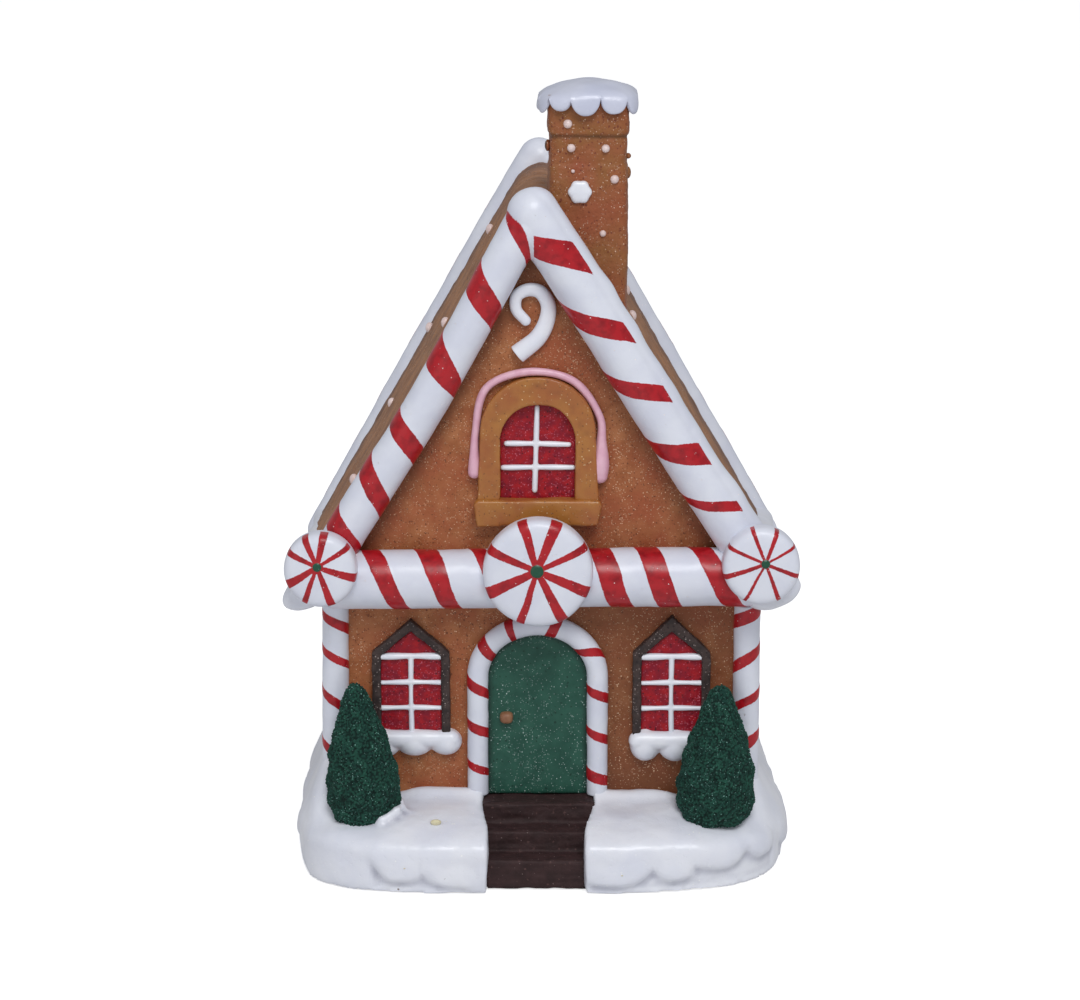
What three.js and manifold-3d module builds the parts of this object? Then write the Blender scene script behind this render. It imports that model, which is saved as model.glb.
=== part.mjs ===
// A moulded gingerbread house with candy cane trim, standing in its own snow bank.
// Millimetres, +Z up, front facing -Y, origin under the middle of the snow base.

import * as THREE from "three";
import { mergeVertices } from "three/addons/utils/BufferGeometryUtils.js";
import Module from "manifold-3d";

const wasm = await Module();
wasm.setup();

// ---------------------------------------------------------------- driving dimensions

const GAP = 0.3; // clearance between touching pieces
const CUT_ROUNDING = 0.2; // rounded edge of a roll's cut end, as a share of its radius
const DEG = Math.PI / 180;
const X_AXIS = new THREE.Vector3(1, 0, 0);
const Y_AXIS = new THREE.Vector3(0, 1, 0);
const Z_AXIS = new THREE.Vector3(0, 0, 1);

// House
const HOUSE_DEPTH = 86;
const HOUSE_MIDDLE_Y = 4; // the front ledge of the base is deeper than the back one
const FRONT_WALL_Y = HOUSE_MIDDLE_Y - HOUSE_DEPTH / 2;
const BACK_WALL_Y = HOUSE_MIDDLE_Y + HOUSE_DEPTH / 2;
const WALL_HALF_WIDTH = 60.5;
const HOUSE_FOOT_Z = 10.3; // the walls stand in a pocket of the base

// Roof
const ROOF_PITCH = 60 * DEG;
const ROOF_POINT_Z = 206.3; // where the two roof planes would meet
const RIDGE_RADIUS = 5.8;
const ROOF_THICKNESS = 7;
const EAVE_Z = 84.5; // lower outer edge of the roof
const ROOF_PEARLS = {
  radius: 2,
  rows: 4,
  columns: 3,
  lowestZ: 108,
  rowStep: 21,
  frontY: HOUSE_MIDDLE_Y - 25,
  columnStep: 27,
  stagger: 8,
  scatter: 9,
};

// Snow base
const BASE_HALF_DEPTH = 67.5;
const BASE_LEFT_X = -73;
const BASE_RIGHT_X = 75.6;
const BASE_SQUARENESS = 5.5; // superellipse exponent of the outline
const BASE_WAIST_Z = 12; // height of the widest outline
const FOOT_INSET = 4.2; // how far the foot stands in under the widest outline
const LEDGE_ROUNDING = 7;
const FRONT_SNOW_Z = 21; // snow against the front wall
const BACK_SNOW_Z = 24;
const CORNER_SNOW_Z = 36; // drifts against the corners of the walls
const SIDE_DIP = 8; // how much lower the drifts are under the side windows
const SIDE_DIP_SPREAD = 30;
const LEDGE_RISE = 6.6; // from the widest outline up to the ledge round the house
const CORNER_DRIFT = [46, 60]; // distances from the middle over which the snow climbs
const BACK_DRIFT_DROP = 3;
const STEEP_SHARE = 0.65; // share of the way in at which a side drift reaches the wall's height
const BASE_SEGMENTS = 36;
const LOBE_DEPTH = 4.4;
const LOBE_HEIGHT = 6.4;
const LOBE_MIDDLE_Z = 10.4;
const LOBE_PROUD = 0.5; // how far a scallop stands out of the bank
const FRONT_LOBES = [
  // [middle x, half width] on the front edge
  [-56, 9.6],
  [-41.2, 8.2],
  [-26.4, 9.2],
  [23.4, 8.4],
  [37.6, 6.8],
  [51, 7.4],
];
const FIRST_SIDE_LOBE = -34; // directions of the other scallops, in degrees
const LAST_SIDE_LOBE = 214;
const SIDE_LOBE_COUNT = 13;
const SIDE_LOBE_HALF = [8.5, 11.5]; // least and greatest half width

// Candy canes
const CANE_OUT = 5.5; // middle of the gable and eave canes in front of the wall
const EAVE_CANE_Z = 88.2;
const EAVE_CANE_RADIUS = 8.6;
const EAVE_CANE_HALF_LENGTH = 62;
const CORNER_CANE_RADIUS = 3.9;
const CORNER_CANE_FOOT_Z = 12.3;
const CORNER_CANE_TOP_Z = 79.2;
const LEFT_CANE_RADIUS = 6.4;
const RIGHT_CANE_RADIUS = 8.1;
const RIGHT_CANE_TAPER = 0.9;
const LEFT_CANE_ROUTE = [
  [-61.5, 93],
  [-52, 108.7],
  [-33.5, 138.2],
  [-3.7, 192.9],
];
const RIGHT_CANE_ROUTE = [
  [61.8, 94],
  [54.1, 106.3],
  [41.7, 125.3],
  [2.6, 189],
  [-0.6, 194.8],
];
const CANE_SIDES = 10;

// Peppermint discs
const MINT_FRONT = 20; // crown of the disc in front of the wall
const MINT_BACK = 11;
const MINT_CENTRE = { x: -1.1, z: 93.9, radius: 15.8 };
const MINT_CORNER = { x: 64.3, z: 94.5, radius: 11.3 };

// Door
const DOOR_X = -0.85;
const DOOR_SILL_Z = 21;
const DOOR_SPRING_Z = 56.8; // where the arch starts
const DOOR_CANE_HALF_WIDTH = 17.9;
const DOOR_CANE_RISE = 15.4;
const DOOR_CANE_RADIUS = 3.1;
const DOOR_CANE_OUT = 1.8;
const DOOR_THICKNESS = 1.6;
const KNOB = { x: -10.3, z: 44.8, width: 3.9, height: 3.5, depth: 2.4 };

// Lower windows, measured from the foot of their frame
const WINDOW_FOOT_Z = 39.6;
const WINDOW_X = 38.4;
const WINDOW = {
  outer: { half: 11.45, shoulder: 25, apex: 36.3 },
  inner: { half: 8.85, shoulder: 24, apex: 31.6 },
  frameDepth: 2.4,
  paneDepth: 0.8,
  barDepth: 1,
  barWidth: 1.5,
  barHeights: [7.9, 15.7, 23.6],
  snowTop: 1.6, // the frame and the pane stand on the snow of the ledge
};
const SILL_SNOW = { half: 11.7, z: -1.6, out: 1.6, radius: 2.6, lobeTop: 1.4, lobeDepth: 4.4 };
const SILL_LOBES = [
  // [middle x, half width, height of the lobe's bottom]
  [-8.7, 5.4, -7.9],
  [0.8, 5.6, -7.2],
  [10, 5, -6.9],
];

// Upper window, measured from the foot of its pane
const UPPER_WINDOW_X = -0.8;
const UPPER_WINDOW_Z = 111;
const UPPER = {
  paneHalf: 11.2,
  paneSpring: 17.2,
  frameHalf: 16.7,
  frameFootHalf: 17.3,
  frameSpring: 19.2,
  frameDepth: 3.8,
  sillHalf: 18.6,
  sillDrop: 7.6,
  sillDepth: 5.2,
  barWidth: 1.6,
  verticalX: -0.4,
  crossBars: [
    // [left x, right x, height]
    [-9.3, 9.2, 16.3],
    [-10.3, 10.4, 9.3],
  ],
};
const PINK = {
  radius: 1.15,
  leftDrop: 0.75, // how much thicker the line ends on the left
  rightDrop: 1.45,
  rightDropAt: 0.965, // place along the line
  dropLength: 0.07,
  out: 1.5,
};
const PINK_ROUTE = [
  [-18.4, 8],
  [-18.1, 19.6],
  [-14.8, 32.9],
  [-2.7, 37.6],
  [10.4, 34.8],
  [18.3, 24.1],
  [19, 18],
  [18.6, 9.4],
];
const HOOK = { tipRadius: 1.2, endRadius: 2.7, flatness: 0.75, out: 1.5 };
const HOOK_ROUTE = [
  // world x and height along the icing hook, from its curled tip to its cut end
  [-3.9, 163.3],
  [-6.6, 166.9],
  [-6.4, 170.7],
  [-3.4, 172.5],
  [0.1, 172],
  [2.5, 168.4],
  [2.2, 163.8],
  [-0.3, 158.8],
  [-6.4, 153.7],
];

// Steps: [left x, right x, front edge in front of the wall, height]
const STEPS = [
  [-17.3, 15.8, 10.5, 20.7],
  [-17, 14.6, 18.2, 14.7],
  [-15.9, 13.2, 26.3, 8.7],
];

// Chimney
const CHIMNEY_X = 14;
const CHIMNEY_Y = -24.9;
const CHIMNEY_HALF = 11.3;
const CHIMNEY_ROOT_Z = 150; // well under the roof, which cuts the stack's foot
const CHIMNEY_TOP_Z = 225.4;
const CHIMNEY_GROOVE_Z = 215.7;
const CHIMNEY_GROOVE_DEPTH = 0.7;
const COLLAR_PROUD = 0.3;
const CHIMNEY_SQUARENESS = 9;
const CAP_HALF = 14;
const CAP_TOP_Z = 231.5;
const CAP_RIM_Z = 224;
const CAP_DRIP = 1.7;
const CAP_LOBES = 10;
const CHIMNEY_PEARLS = [
  // [x, height, radius] on the front face
  [8.1, 219.3, 1.35],
  [9.2, 212.4, 1.2],
  [18.9, 212.3, 1.2],
  [21.5, 203.4, 1.25],
  [18.2, 187.9, 0.95],
];
const SIDE_PEARLS = [
  // [place across the face from its middle, height] on the other three faces
  [-5.5, 212.2],
  [3.6, 208.2],
  [-1.4, 197.5],
];
const SIDE_PEARL_RADIUS = 1.3;
const BUTTON = { x: 11.6, z: 200, radius: 3.6, depth: 1.5, petals: 6, scallop: 0.07 };

// Bottle brush trees: foot to tip, with the tip leaning outwards
const TREES = {
  left: { x: -51.7, tipX: -55, footZ: 16.6, height: 41.6, radius: 10.5 },
  right: { x: 51.5, tipX: 53.6, footZ: 16.2, height: 40.6, radius: 11 },
};
const TREE_Y = -50.6;
const TREE_LUMP = 0.032; // depth of the lumps, as a share of the radius

// Snow along the side eaves
const EAVE_SNOW_X = 67.7;
const EAVE_SNOW_Z = 83.8;
const EAVE_SNOW_HALF_WIDTH = 7.6;
const EAVE_SNOW_FLATNESS = 0.68;
const EAVE_SNOW_SKEW = 0.3;
const EAVE_SNOW_OVERHANG = 6.4; // past the walls, at the front and the back
const EAVE_SNOW_WAVES = 4;
const EAVE_SNOW_SAG = 0.04; // depth of the waves, as a share of the half width

// ---------------------------------------------------------------- mesh helpers

/** Moves every point of a geometry with a function of that point. */
function warp(geometry, place) {
  const position = geometry.getAttribute("position");
  const point = new THREE.Vector3();
  for (let i = 0; i < position.count; i += 1) {
    point.fromBufferAttribute(position, i);
    const moved = place(point);
    position.setXYZ(i, moved.x, moved.y, moved.z);
  }
  return geometry;
}

/** Turns a closed three.js geometry into a solid for joining and cutting. */
function toSolid(geometry) {
  const bare = geometry.clone();
  bare.deleteAttribute("normal");
  bare.deleteAttribute("uv");
  const merged = mergeVertices(bare, 1e-4);
  const index = merged.getIndex().array;
  const position = merged.getAttribute("position");
  const corners = [0, 1, 2].map(() => new THREE.Vector3());
  const triangles = [];
  let volume = 0;
  for (let i = 0; i < index.length; i += 3) {
    const [a, b, c] = [index[i], index[i + 1], index[i + 2]];
    if (a === b || b === c || c === a) {
      continue;
    }
    triangles.push([a, b, c]);
    [a, b, c].forEach((vertex, corner) => corners[corner].fromBufferAttribute(position, vertex));
    volume += corners[0].dot(corners[1].cross(corners[2]));
  }
  const outward = volume > 0 ? triangles : triangles.map(([a, b, c]) => [a, c, b]);
  return new wasm.Manifold(new wasm.Mesh({
    numProp: 3,
    vertProperties: new Float32Array(position.array),
    triVerts: new Uint32Array(outward.flat()),
  }));
}

/** Gives a solid's vertices and triangles back as a three.js geometry. */
function toGeometry(solid) {
  const mesh = solid.getMesh();
  const geometry = new THREE.BufferGeometry();
  geometry.setAttribute("position", new THREE.BufferAttribute(mesh.vertProperties.slice(), 3));
  geometry.setIndex(new THREE.BufferAttribute(mesh.triVerts.slice(), 1));
  return geometry;
}

/** Joins the parts, takes the cutters away and keeps the largest piece that is left. */
function combine(parts, cutters = []) {
  let solid = toSolid(parts[0]);
  for (const part of parts.slice(1)) {
    solid = solid.add(toSolid(part));
  }
  for (const cutter of cutters) {
    solid = solid.subtract(toSolid(cutter));
  }
  const pieces = solid.decompose();
  pieces.sort((one, other) => other.volume() - one.volume());
  return toGeometry(pieces[0]);
}

/** A box between two corners. */
function box(x0, x1, y0, y1, z0, z1) {
  const geometry = new THREE.BoxGeometry(x1 - x0, y1 - y0, z1 - z0);
  return geometry.translate((x0 + x1) / 2, (y0 + y1) / 2, (z0 + z1) / 2);
}

/** An ellipsoid with its poles up and down. */
function ellipsoid(x, y, z, halfX, halfY, halfZ, segments = 10) {
  const geometry = new THREE.SphereGeometry(1, segments, Math.max(5, Math.round(segments * 0.6)));
  return geometry.rotateX(90 * DEG).scale(halfX, halfY, halfZ).translate(x, y, z);
}

/** A sugar pearl. */
function pearl(x, y, z, radius) {
  return new THREE.IcosahedronGeometry(radius, 0).translate(x, y, z);
}

/** An outline in X and Z, extruded from its front face at y0 to its back face at y1. */
function plate(outline, y0, y1, curveSegments = 6) {
  const geometry = new THREE.ExtrudeGeometry(outline, {
    depth: y1 - y0,
    bevelEnabled: false,
    curveSegments,
  });
  return geometry.rotateX(90 * DEG).translate(0, y1, 0);
}

/** A straight-sided outline through the given corners. */
function polygon(corners) {
  return new THREE.Shape(corners.map(([x, z]) => new THREE.Vector2(x, z)));
}

/** A smooth curve in the X-Z plane at one depth. */
function routeAt(points, y) {
  return new THREE.CatmullRomCurve3(points.map(([x, z]) => new THREE.Vector3(x, y, z)));
}

/**
 * A roll of dough or icing along a curve: a turned profile, bent on to the curve.
 * radiusAt gives its radius by place from 0 to 1, flat its thickness along across as a share.
 */
function roll(curve, radiusAt, options) {
  const { sides, steps, domed = false, flat = 1, across = Y_AXIS, grow = 0 } = options;
  const length = curve.getLength();
  const [startRadius, endRadius] = [radiusAt(0) + grow, radiusAt(1) + grow];
  const start = domed
    ? [0, 30, 60].map((angle) => [Math.sin(angle * DEG), -startRadius * Math.cos(angle * DEG)])
    : [[0, -grow], [1 - CUT_ROUNDING, -grow], [1, startRadius * CUT_ROUNDING]];
  const end = domed
    ? [60, 30, 0].map((angle) => [Math.sin(angle * DEG), length + endRadius * Math.cos(angle * DEG)])
    : [[1, length - endRadius * CUT_ROUNDING], [1 - CUT_ROUNDING, length + grow], [0, length + grow]];
  const inner = [];
  for (let step = domed ? 0 : 1; step <= (domed ? steps : steps - 1); step += 1) {
    inner.push([1, (length * step) / steps]);
  }
  const profile = [...start, ...inner, ...end].map(([share, along]) => new THREE.Vector2(share, along));
  const side = new THREE.Vector3();
  return warp(new THREE.LatheGeometry(profile, sides), (point) => {
    const along = THREE.MathUtils.clamp(point.y, 0, length);
    const place = along / length;
    const tangent = curve.getTangentAt(place);
    const radius = radiusAt(place) + grow;
    side.crossVectors(tangent, across);
    return curve.getPointAt(place)
      .addScaledVector(tangent, point.y - along)
      .addScaledVector(across, point.z * radius * flat)
      .addScaledVector(side, point.x * radius);
  });
}

/** A repeatable draw between 0 and 1. */
function seededDraw(seed) {
  let state = seed;
  return () => {
    state = (state * 16807) % 2147483647;
    return state / 2147483647;
  };
}

// ---------------------------------------------------------------- house and roof

/** Half width of the house section at a height, at some depth under the roof's outer face. */
function roofHalfWidth(z, depth = 0) {
  return (ROOF_POINT_Z - depth / Math.cos(ROOF_PITCH) - z) / Math.tan(ROOF_PITCH);
}

/** The solid core of the house: five-sided in section, as deep as the walls. */
function houseBody(grow = 0) {
  const depth = ROOF_THICKNESS + GAP - grow;
  const half = WALL_HALF_WIDTH + grow;
  const apex = ROOF_POINT_Z - depth / Math.cos(ROOF_PITCH);
  const shoulder = apex - half * Math.tan(ROOF_PITCH);
  const foot = HOUSE_FOOT_Z - grow;
  const section = polygon([[-half, foot], [half, foot], [half, shoulder], [0, apex], [-half, shoulder]]);
  return plate(section, FRONT_WALL_Y - grow, BACK_WALL_Y + grow);
}

/** One roof slab, on the right for side = 1 and on the left for side = -1. */
function roofSlab(side, grow = 0) {
  const normal = new THREE.Vector2(Math.sin(ROOF_PITCH), Math.cos(ROOF_PITCH));
  const radius = RIDGE_RADIUS + grow;
  const ridgeMiddle = ROOF_POINT_Z - RIDGE_RADIUS / Math.cos(ROOF_PITCH);
  const down = new THREE.Vector2(Math.cos(ROOF_PITCH), -Math.sin(ROOF_PITCH));
  const eave = new THREE.Vector2(roofHalfWidth(EAVE_Z), EAVE_Z);
  const outer = eave.clone().addScaledVector(normal, grow).addScaledVector(down, grow);
  const inner = outer.clone().addScaledVector(normal, -ROOF_THICKNESS - 2 * grow);
  const innerPoint = ROOF_POINT_Z - (ROOF_THICKNESS + grow) / Math.cos(ROOF_PITCH);
  const middle = GAP / 2 - grow;
  const section = new THREE.Shape();
  section.moveTo(middle, innerPoint - middle * Math.tan(ROOF_PITCH));
  section.lineTo(inner.x, inner.y);
  section.lineTo(outer.x, outer.y);
  section.absarc(0, ridgeMiddle, radius, 90 * DEG - ROOF_PITCH, Math.acos(middle / radius), false);
  section.closePath();
  const slab = plate(section, FRONT_WALL_Y - grow, BACK_WALL_Y + grow, 4);
  return side > 0 ? slab : slab.scale(-1, 1, 1);
}

/** Everything below the outer face of the roof, for seating the chimney on it. */
function underRoof(grow) {
  const half = roofHalfWidth(EAVE_Z, -grow);
  const section = new THREE.Shape();
  const ridgeMiddle = ROOF_POINT_Z - RIDGE_RADIUS / Math.cos(ROOF_PITCH);
  section.moveTo(-half, EAVE_Z);
  section.lineTo(half, EAVE_Z);
  section.absarc(0, ridgeMiddle, RIDGE_RADIUS + grow, 90 * DEG - ROOF_PITCH, 90 * DEG + ROOF_PITCH, false);
  section.closePath();
  return plate(section, FRONT_WALL_Y - 1, BACK_WALL_Y + 1, 4);
}

/** Sugar pearls on a roof slab, on a loose grid. */
function roofPearls(side) {
  const { radius, rows, columns, lowestZ, rowStep, frontY, columnStep, stagger, scatter } = ROOF_PEARLS;
  const draw = seededDraw(side > 0 ? 41 : 17);
  const pearls = [];
  for (let row = 0; row < rows; row += 1) {
    for (let column = 0; column < columns; column += 1) {
      const z = lowestZ + row * rowStep + draw() * scatter;
      const y = frontY + column * columnStep + (row % 2) * stagger - draw() * scatter;
      const x = side * roofHalfWidth(z);
      const clear = CHIMNEY_HALF + 2 * radius;
      if (Math.abs(x - CHIMNEY_X) > clear || Math.abs(y - CHIMNEY_Y) > clear) {
        pearls.push(pearl(x, y, z, radius));
      }
    }
  }
  return pearls;
}

// ---------------------------------------------------------------- gable trim

/** Middle line of one gable cane, in the frame of its wall. */
function gableCane(side, grow = 0) {
  const isRight = side > 0;
  const curve = routeAt(isRight ? RIGHT_CANE_ROUTE : LEFT_CANE_ROUTE, -CANE_OUT);
  const radiusAt = (place) => (isRight
    ? RIGHT_CANE_RADIUS - RIGHT_CANE_TAPER * (1 - place)
    : LEFT_CANE_RADIUS);
  return roll(curve, radiusAt, { sides: CANE_SIDES, steps: 4, domed: true, grow });
}

/** The log that lies along the eaves. */
function eaveCane(grow = 0) {
  const ends = [-1, 1].map((side) => new THREE.Vector3(side * EAVE_CANE_HALF_LENGTH, -CANE_OUT, EAVE_CANE_Z));
  return roll(new THREE.LineCurve3(...ends), () => EAVE_CANE_RADIUS, { sides: 12, steps: 1, grow });
}

/** A peppermint disc: flat back, rounded rim and a domed face. */
function mint({ x, z, radius }) {
  const profile = [
    [0, MINT_FRONT],
    [0.55, MINT_FRONT - 0.5],
    [0.88, MINT_FRONT - 1.9],
    [1, MINT_FRONT - 4.4],
    [1, MINT_BACK + 1],
    [0.94, MINT_BACK],
    [0, MINT_BACK],
  ];
  const points = profile.map(([share, out]) => new THREE.Vector2(share * radius, -out));
  return new THREE.LatheGeometry(points, 20).translate(x, 0, z);
}

/** A corner cane, upright in its corner of the walls. */
function cornerCane(x, y, lean, grow = 0) {
  const foot = new THREE.Vector3(x + lean, y, CORNER_CANE_FOOT_Z);
  const curve = new THREE.LineCurve3(foot, new THREE.Vector3(x, y, CORNER_CANE_TOP_Z));
  return roll(curve, () => CORNER_CANE_RADIUS, { sides: CANE_SIDES, steps: 1, grow });
}

/** Snow along one side eave, with a sagging lower edge. */
function eaveSnow(side) {
  const ends = [FRONT_WALL_Y - EAVE_SNOW_OVERHANG, BACK_WALL_Y + EAVE_SNOW_OVERHANG];
  const curve = new THREE.LineCurve3(
    ...ends.map((y) => new THREE.Vector3(side * EAVE_SNOW_X, y, EAVE_SNOW_Z)),
  );
  const radiusAt = (place) => (
    EAVE_SNOW_HALF_WIDTH * (1 + EAVE_SNOW_SAG * Math.cos(place * EAVE_SNOW_WAVES * 2 * Math.PI))
  );
  const options = { sides: 8, steps: 8, flat: EAVE_SNOW_FLATNESS, across: Z_AXIS };
  return warp(roll(curve, radiusAt, options), (point) => {
    const drop = EAVE_SNOW_Z - point.z;
    return point.clone().addScaledVector(X_AXIS, side * drop * EAVE_SNOW_SKEW);
  });
}

// ---------------------------------------------------------------- door

/** Middle line of the cane round the door: two legs and a half ellipse. */
function doorCane(grow = 0) {
  const path = new THREE.CurvePath();
  const at = (x, z) => new THREE.Vector3(DOOR_X + x, -DOOR_CANE_OUT, z);
  const arch = [];
  for (let angle = 180; angle >= 0; angle -= 15) {
    const x = DOOR_CANE_HALF_WIDTH * Math.cos(angle * DEG);
    arch.push(at(x, DOOR_SPRING_Z + DOOR_CANE_RISE * Math.sin(angle * DEG)));
  }
  path.add(new THREE.LineCurve3(at(-DOOR_CANE_HALF_WIDTH, DOOR_SILL_Z), arch[0]));
  path.add(new THREE.CatmullRomCurve3(arch));
  path.add(new THREE.LineCurve3(arch[arch.length - 1], at(DOOR_CANE_HALF_WIDTH, DOOR_SILL_Z)));
  return roll(path, () => DOOR_CANE_RADIUS, { sides: 8, steps: 18, grow });
}

/** The door leaf, arched like the cane round it. */
function doorLeaf() {
  const half = DOOR_CANE_HALF_WIDTH - DOOR_CANE_RADIUS - 0.1;
  const rise = DOOR_CANE_RISE - DOOR_CANE_RADIUS - 0.1;
  const outline = new THREE.Shape();
  outline.moveTo(DOOR_X - half, DOOR_SILL_Z);
  outline.lineTo(DOOR_X + half, DOOR_SILL_Z);
  outline.lineTo(DOOR_X + half, DOOR_SPRING_Z);
  outline.absellipse(DOOR_X, DOOR_SPRING_Z, half, rise, 0, Math.PI, false, 0);
  outline.closePath();
  return plate(outline, -GAP - DOOR_THICKNESS, -GAP, 10);
}

/** The dough knob of the door, flat where it meets the leaf. */
function doorKnob() {
  const front = -2 * GAP - DOOR_THICKNESS;
  const knob = ellipsoid(KNOB.x, front, KNOB.z, KNOB.width / 2, KNOB.depth, KNOB.height / 2, 10);
  return combine([knob], [box(-90, 90, front, 60, 0, 90)]);
}

// ---------------------------------------------------------------- windows

/** Corners of a house-shaped outline, from its left foot over the apex to its right foot. */
function gabledCorners({ half, shoulder, apex }, foot) {
  return [[-half, foot], [-half, shoulder], [0, apex], [half, shoulder], [half, foot]];
}

/** The frame of a lower window, open at its foot. */
function windowFrame() {
  const outer = gabledCorners(WINDOW.outer, WINDOW.snowTop);
  const inner = gabledCorners(WINDOW.inner, WINDOW.snowTop).reverse();
  return plate(polygon([...outer, ...inner]), -GAP - WINDOW.frameDepth, -GAP);
}

/** The glitter pane of a lower window. */
function windowPane() {
  const { half, shoulder, apex } = WINDOW.inner;
  const shrunk = { half: half - GAP, shoulder: shoulder - GAP, apex: apex - 2 * GAP };
  return plate(polygon(gabledCorners(shrunk, WINDOW.snowTop)), -GAP - WINDOW.paneDepth, -GAP);
}

/** The icing bars of a lower window: one upright and three across. */
function windowBars() {
  const half = WINDOW.inner.half - GAP;
  const [front, back] = [-2 * GAP - WINDOW.paneDepth - WINDOW.barDepth, -2 * GAP - WINDOW.paneDepth];
  const thick = WINDOW.barWidth / 2;
  const top = WINDOW.barHeights[WINDOW.barHeights.length - 1];
  const upright = box(-thick, thick, front, back, WINDOW.snowTop, top);
  const across = WINDOW.barHeights.map((z) => box(-half, half, front, back, z - thick, z + thick));
  return combine([upright, ...across]);
}

/** The snow on a lower window's ledge: a roll with three fat drips. */
function windowSnow(mirror, cutters) {
  const { half: sillHalf, z, out, radius, lobeTop, lobeDepth } = SILL_SNOW;
  const lobes = SILL_LOBES.map(([x, half, bottom]) => {
    const height = (lobeTop - bottom) / 2;
    return ellipsoid(mirror * x, -GAP, bottom + height, half, lobeDepth, height, 6);
  });
  const ends = [-1, 1].map((side) => new THREE.Vector3(side * sillHalf, -out, z));
  const ledge = roll(new THREE.LineCurve3(...ends), () => radius, { sides: 6, steps: 1, domed: true });
  return combine([ledge, ...lobes], [wallBlock(), ...cutters]);
}

/** The wall behind a decoration, for a flat back with clearance. */
function wallBlock() {
  return box(-90, 90, -GAP, 60, -60, 260);
}

/** One lower window as a group: frame, pane, bars and snow. */
function lowerWindow(name, mirror, cutters = []) {
  const group = new THREE.Group();
  group.add(
    mesh(`${name}_frame`, windowFrame(), FINISH.chocolate),
    mesh(`${name}_pane`, windowPane(), FINISH.redGlitter),
    mesh(`${name}_bars`, windowBars(), FINISH.icing),
    mesh(`${name}_snow`, windowSnow(mirror, cutters), FINISH.icing),
  );
  return group;
}

/** An arched outline: straight sides up to the spring of a half circle. */
function archOutline(footHalf, half, foot, spring) {
  const outline = new THREE.Shape();
  outline.moveTo(-footHalf, foot);
  outline.lineTo(footHalf, foot);
  outline.lineTo(half, spring);
  outline.absarc(0, spring, half, 0, Math.PI, false);
  outline.closePath();
  return outline;
}

/** The thick biscuit arch of the upper window. */
function upperFrame(grow = 0) {
  const halves = [UPPER.frameFootHalf + grow, UPPER.frameHalf + grow];
  const outline = archOutline(...halves, GAP - grow, UPPER.frameSpring);
  const arch = plate(outline, -GAP - UPPER.frameDepth - grow, -GAP, 12);
  const opening = archOutline(UPPER.paneHalf + GAP, UPPER.paneHalf + GAP, -1, UPPER.paneSpring);
  return combine([arch], [plate(opening, -9, 1, 10)]);
}

/** The glitter pane of the upper window. */
function upperPane() {
  const outline = archOutline(UPPER.paneHalf, UPPER.paneHalf, GAP, UPPER.paneSpring);
  return plate(outline, -GAP - WINDOW.paneDepth, -GAP, 10);
}

/** The icing bars of the upper window. */
function upperBars() {
  const back = -2 * GAP - WINDOW.paneDepth;
  const front = back - WINDOW.barDepth;
  const thick = UPPER.barWidth / 2;
  const upright = box(UPPER.verticalX - thick, UPPER.verticalX + thick, front, back, 2.3, 27.4);
  const across = UPPER.crossBars.map(([left, right, z]) => (
    box(left, right, front, back, z - thick, z + thick)
  ));
  return combine([upright, ...across]);
}

/** The biscuit ledge under the upper window. */
function upperLedge() {
  const outline = polygon([
    [-UPPER.sillHalf, -1],
    [-UPPER.sillHalf + 0.8, -UPPER.sillDrop],
    [UPPER.sillHalf - 1.2, -UPPER.sillDrop + 0.5],
    [UPPER.sillHalf, -1.2],
    [UPPER.sillHalf - 0.7, 0],
    [-UPPER.sillHalf + 0.8, 0],
  ]);
  return plate(outline, -GAP - UPPER.sillDepth, -GAP);
}

/** Pink icing piped over the arch, ending in a drop on each side. */
function pinkIcing() {
  const drop = (distance) => Math.exp(-((distance / PINK.dropLength) ** 2));
  const radiusAt = (place) => (
    PINK.radius + PINK.leftDrop * drop(place) + PINK.rightDrop * drop(place - PINK.rightDropAt)
  );
  const line = roll(routeAt(PINK_ROUTE, -PINK.out), radiusAt, { sides: 6, steps: 15, domed: true });
  return combine([line], [wallBlock(), upperFrame(GAP)]);
}

/** The white icing hook in the gable, thickest at its cut end. */
function icingHook() {
  const radiusAt = (place) => THREE.MathUtils.lerp(HOOK.tipRadius, HOOK.endRadius, place);
  const options = { sides: 7, steps: 13, flat: HOOK.flatness };
  return combine([roll(routeAt(HOOK_ROUTE, -HOOK.out), radiusAt, options)], [wallBlock()]);
}

// ---------------------------------------------------------------- chimney

/** A turned profile squared off in plan: points are [half width, height]. */
function squareTurned(profile, x, y, squareness, segments, shape = (point) => point) {
  const points = profile.map(([half, z]) => new THREE.Vector2(half, z));
  const geometry = new THREE.LatheGeometry(points, segments).rotateX(90 * DEG);
  return warp(geometry, (point) => {
    const reach = Math.hypot(point.x, point.y);
    if (reach > 1e-6) {
      const [c, s] = [point.x / reach, point.y / reach];
      const round = (Math.abs(c) ** squareness + Math.abs(s) ** squareness) ** (-1 / squareness);
      point.set(c * round * reach, s * round * reach, point.z);
    }
    return shape(point);
  }).translate(x, y, 0);
}

/** The chimney stack, with a groove under its collar. */
function chimneyStack(grow = 0) {
  const half = CHIMNEY_HALF + grow;
  const profile = [
    [0, CHIMNEY_ROOT_Z],
    [half, CHIMNEY_ROOT_Z],
    [half, CHIMNEY_GROOVE_Z - 0.5],
    [half - CHIMNEY_GROOVE_DEPTH, CHIMNEY_GROOVE_Z],
    [half - CHIMNEY_GROOVE_DEPTH, CHIMNEY_GROOVE_Z + 0.5],
    [half + COLLAR_PROUD, CHIMNEY_GROOVE_Z + 1],
    [half + COLLAR_PROUD, CHIMNEY_TOP_Z + grow],
    [0, CHIMNEY_TOP_Z + grow],
  ];
  return squareTurned(profile, CHIMNEY_X, CHIMNEY_Y, CHIMNEY_SQUARENESS, 24);
}

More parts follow.
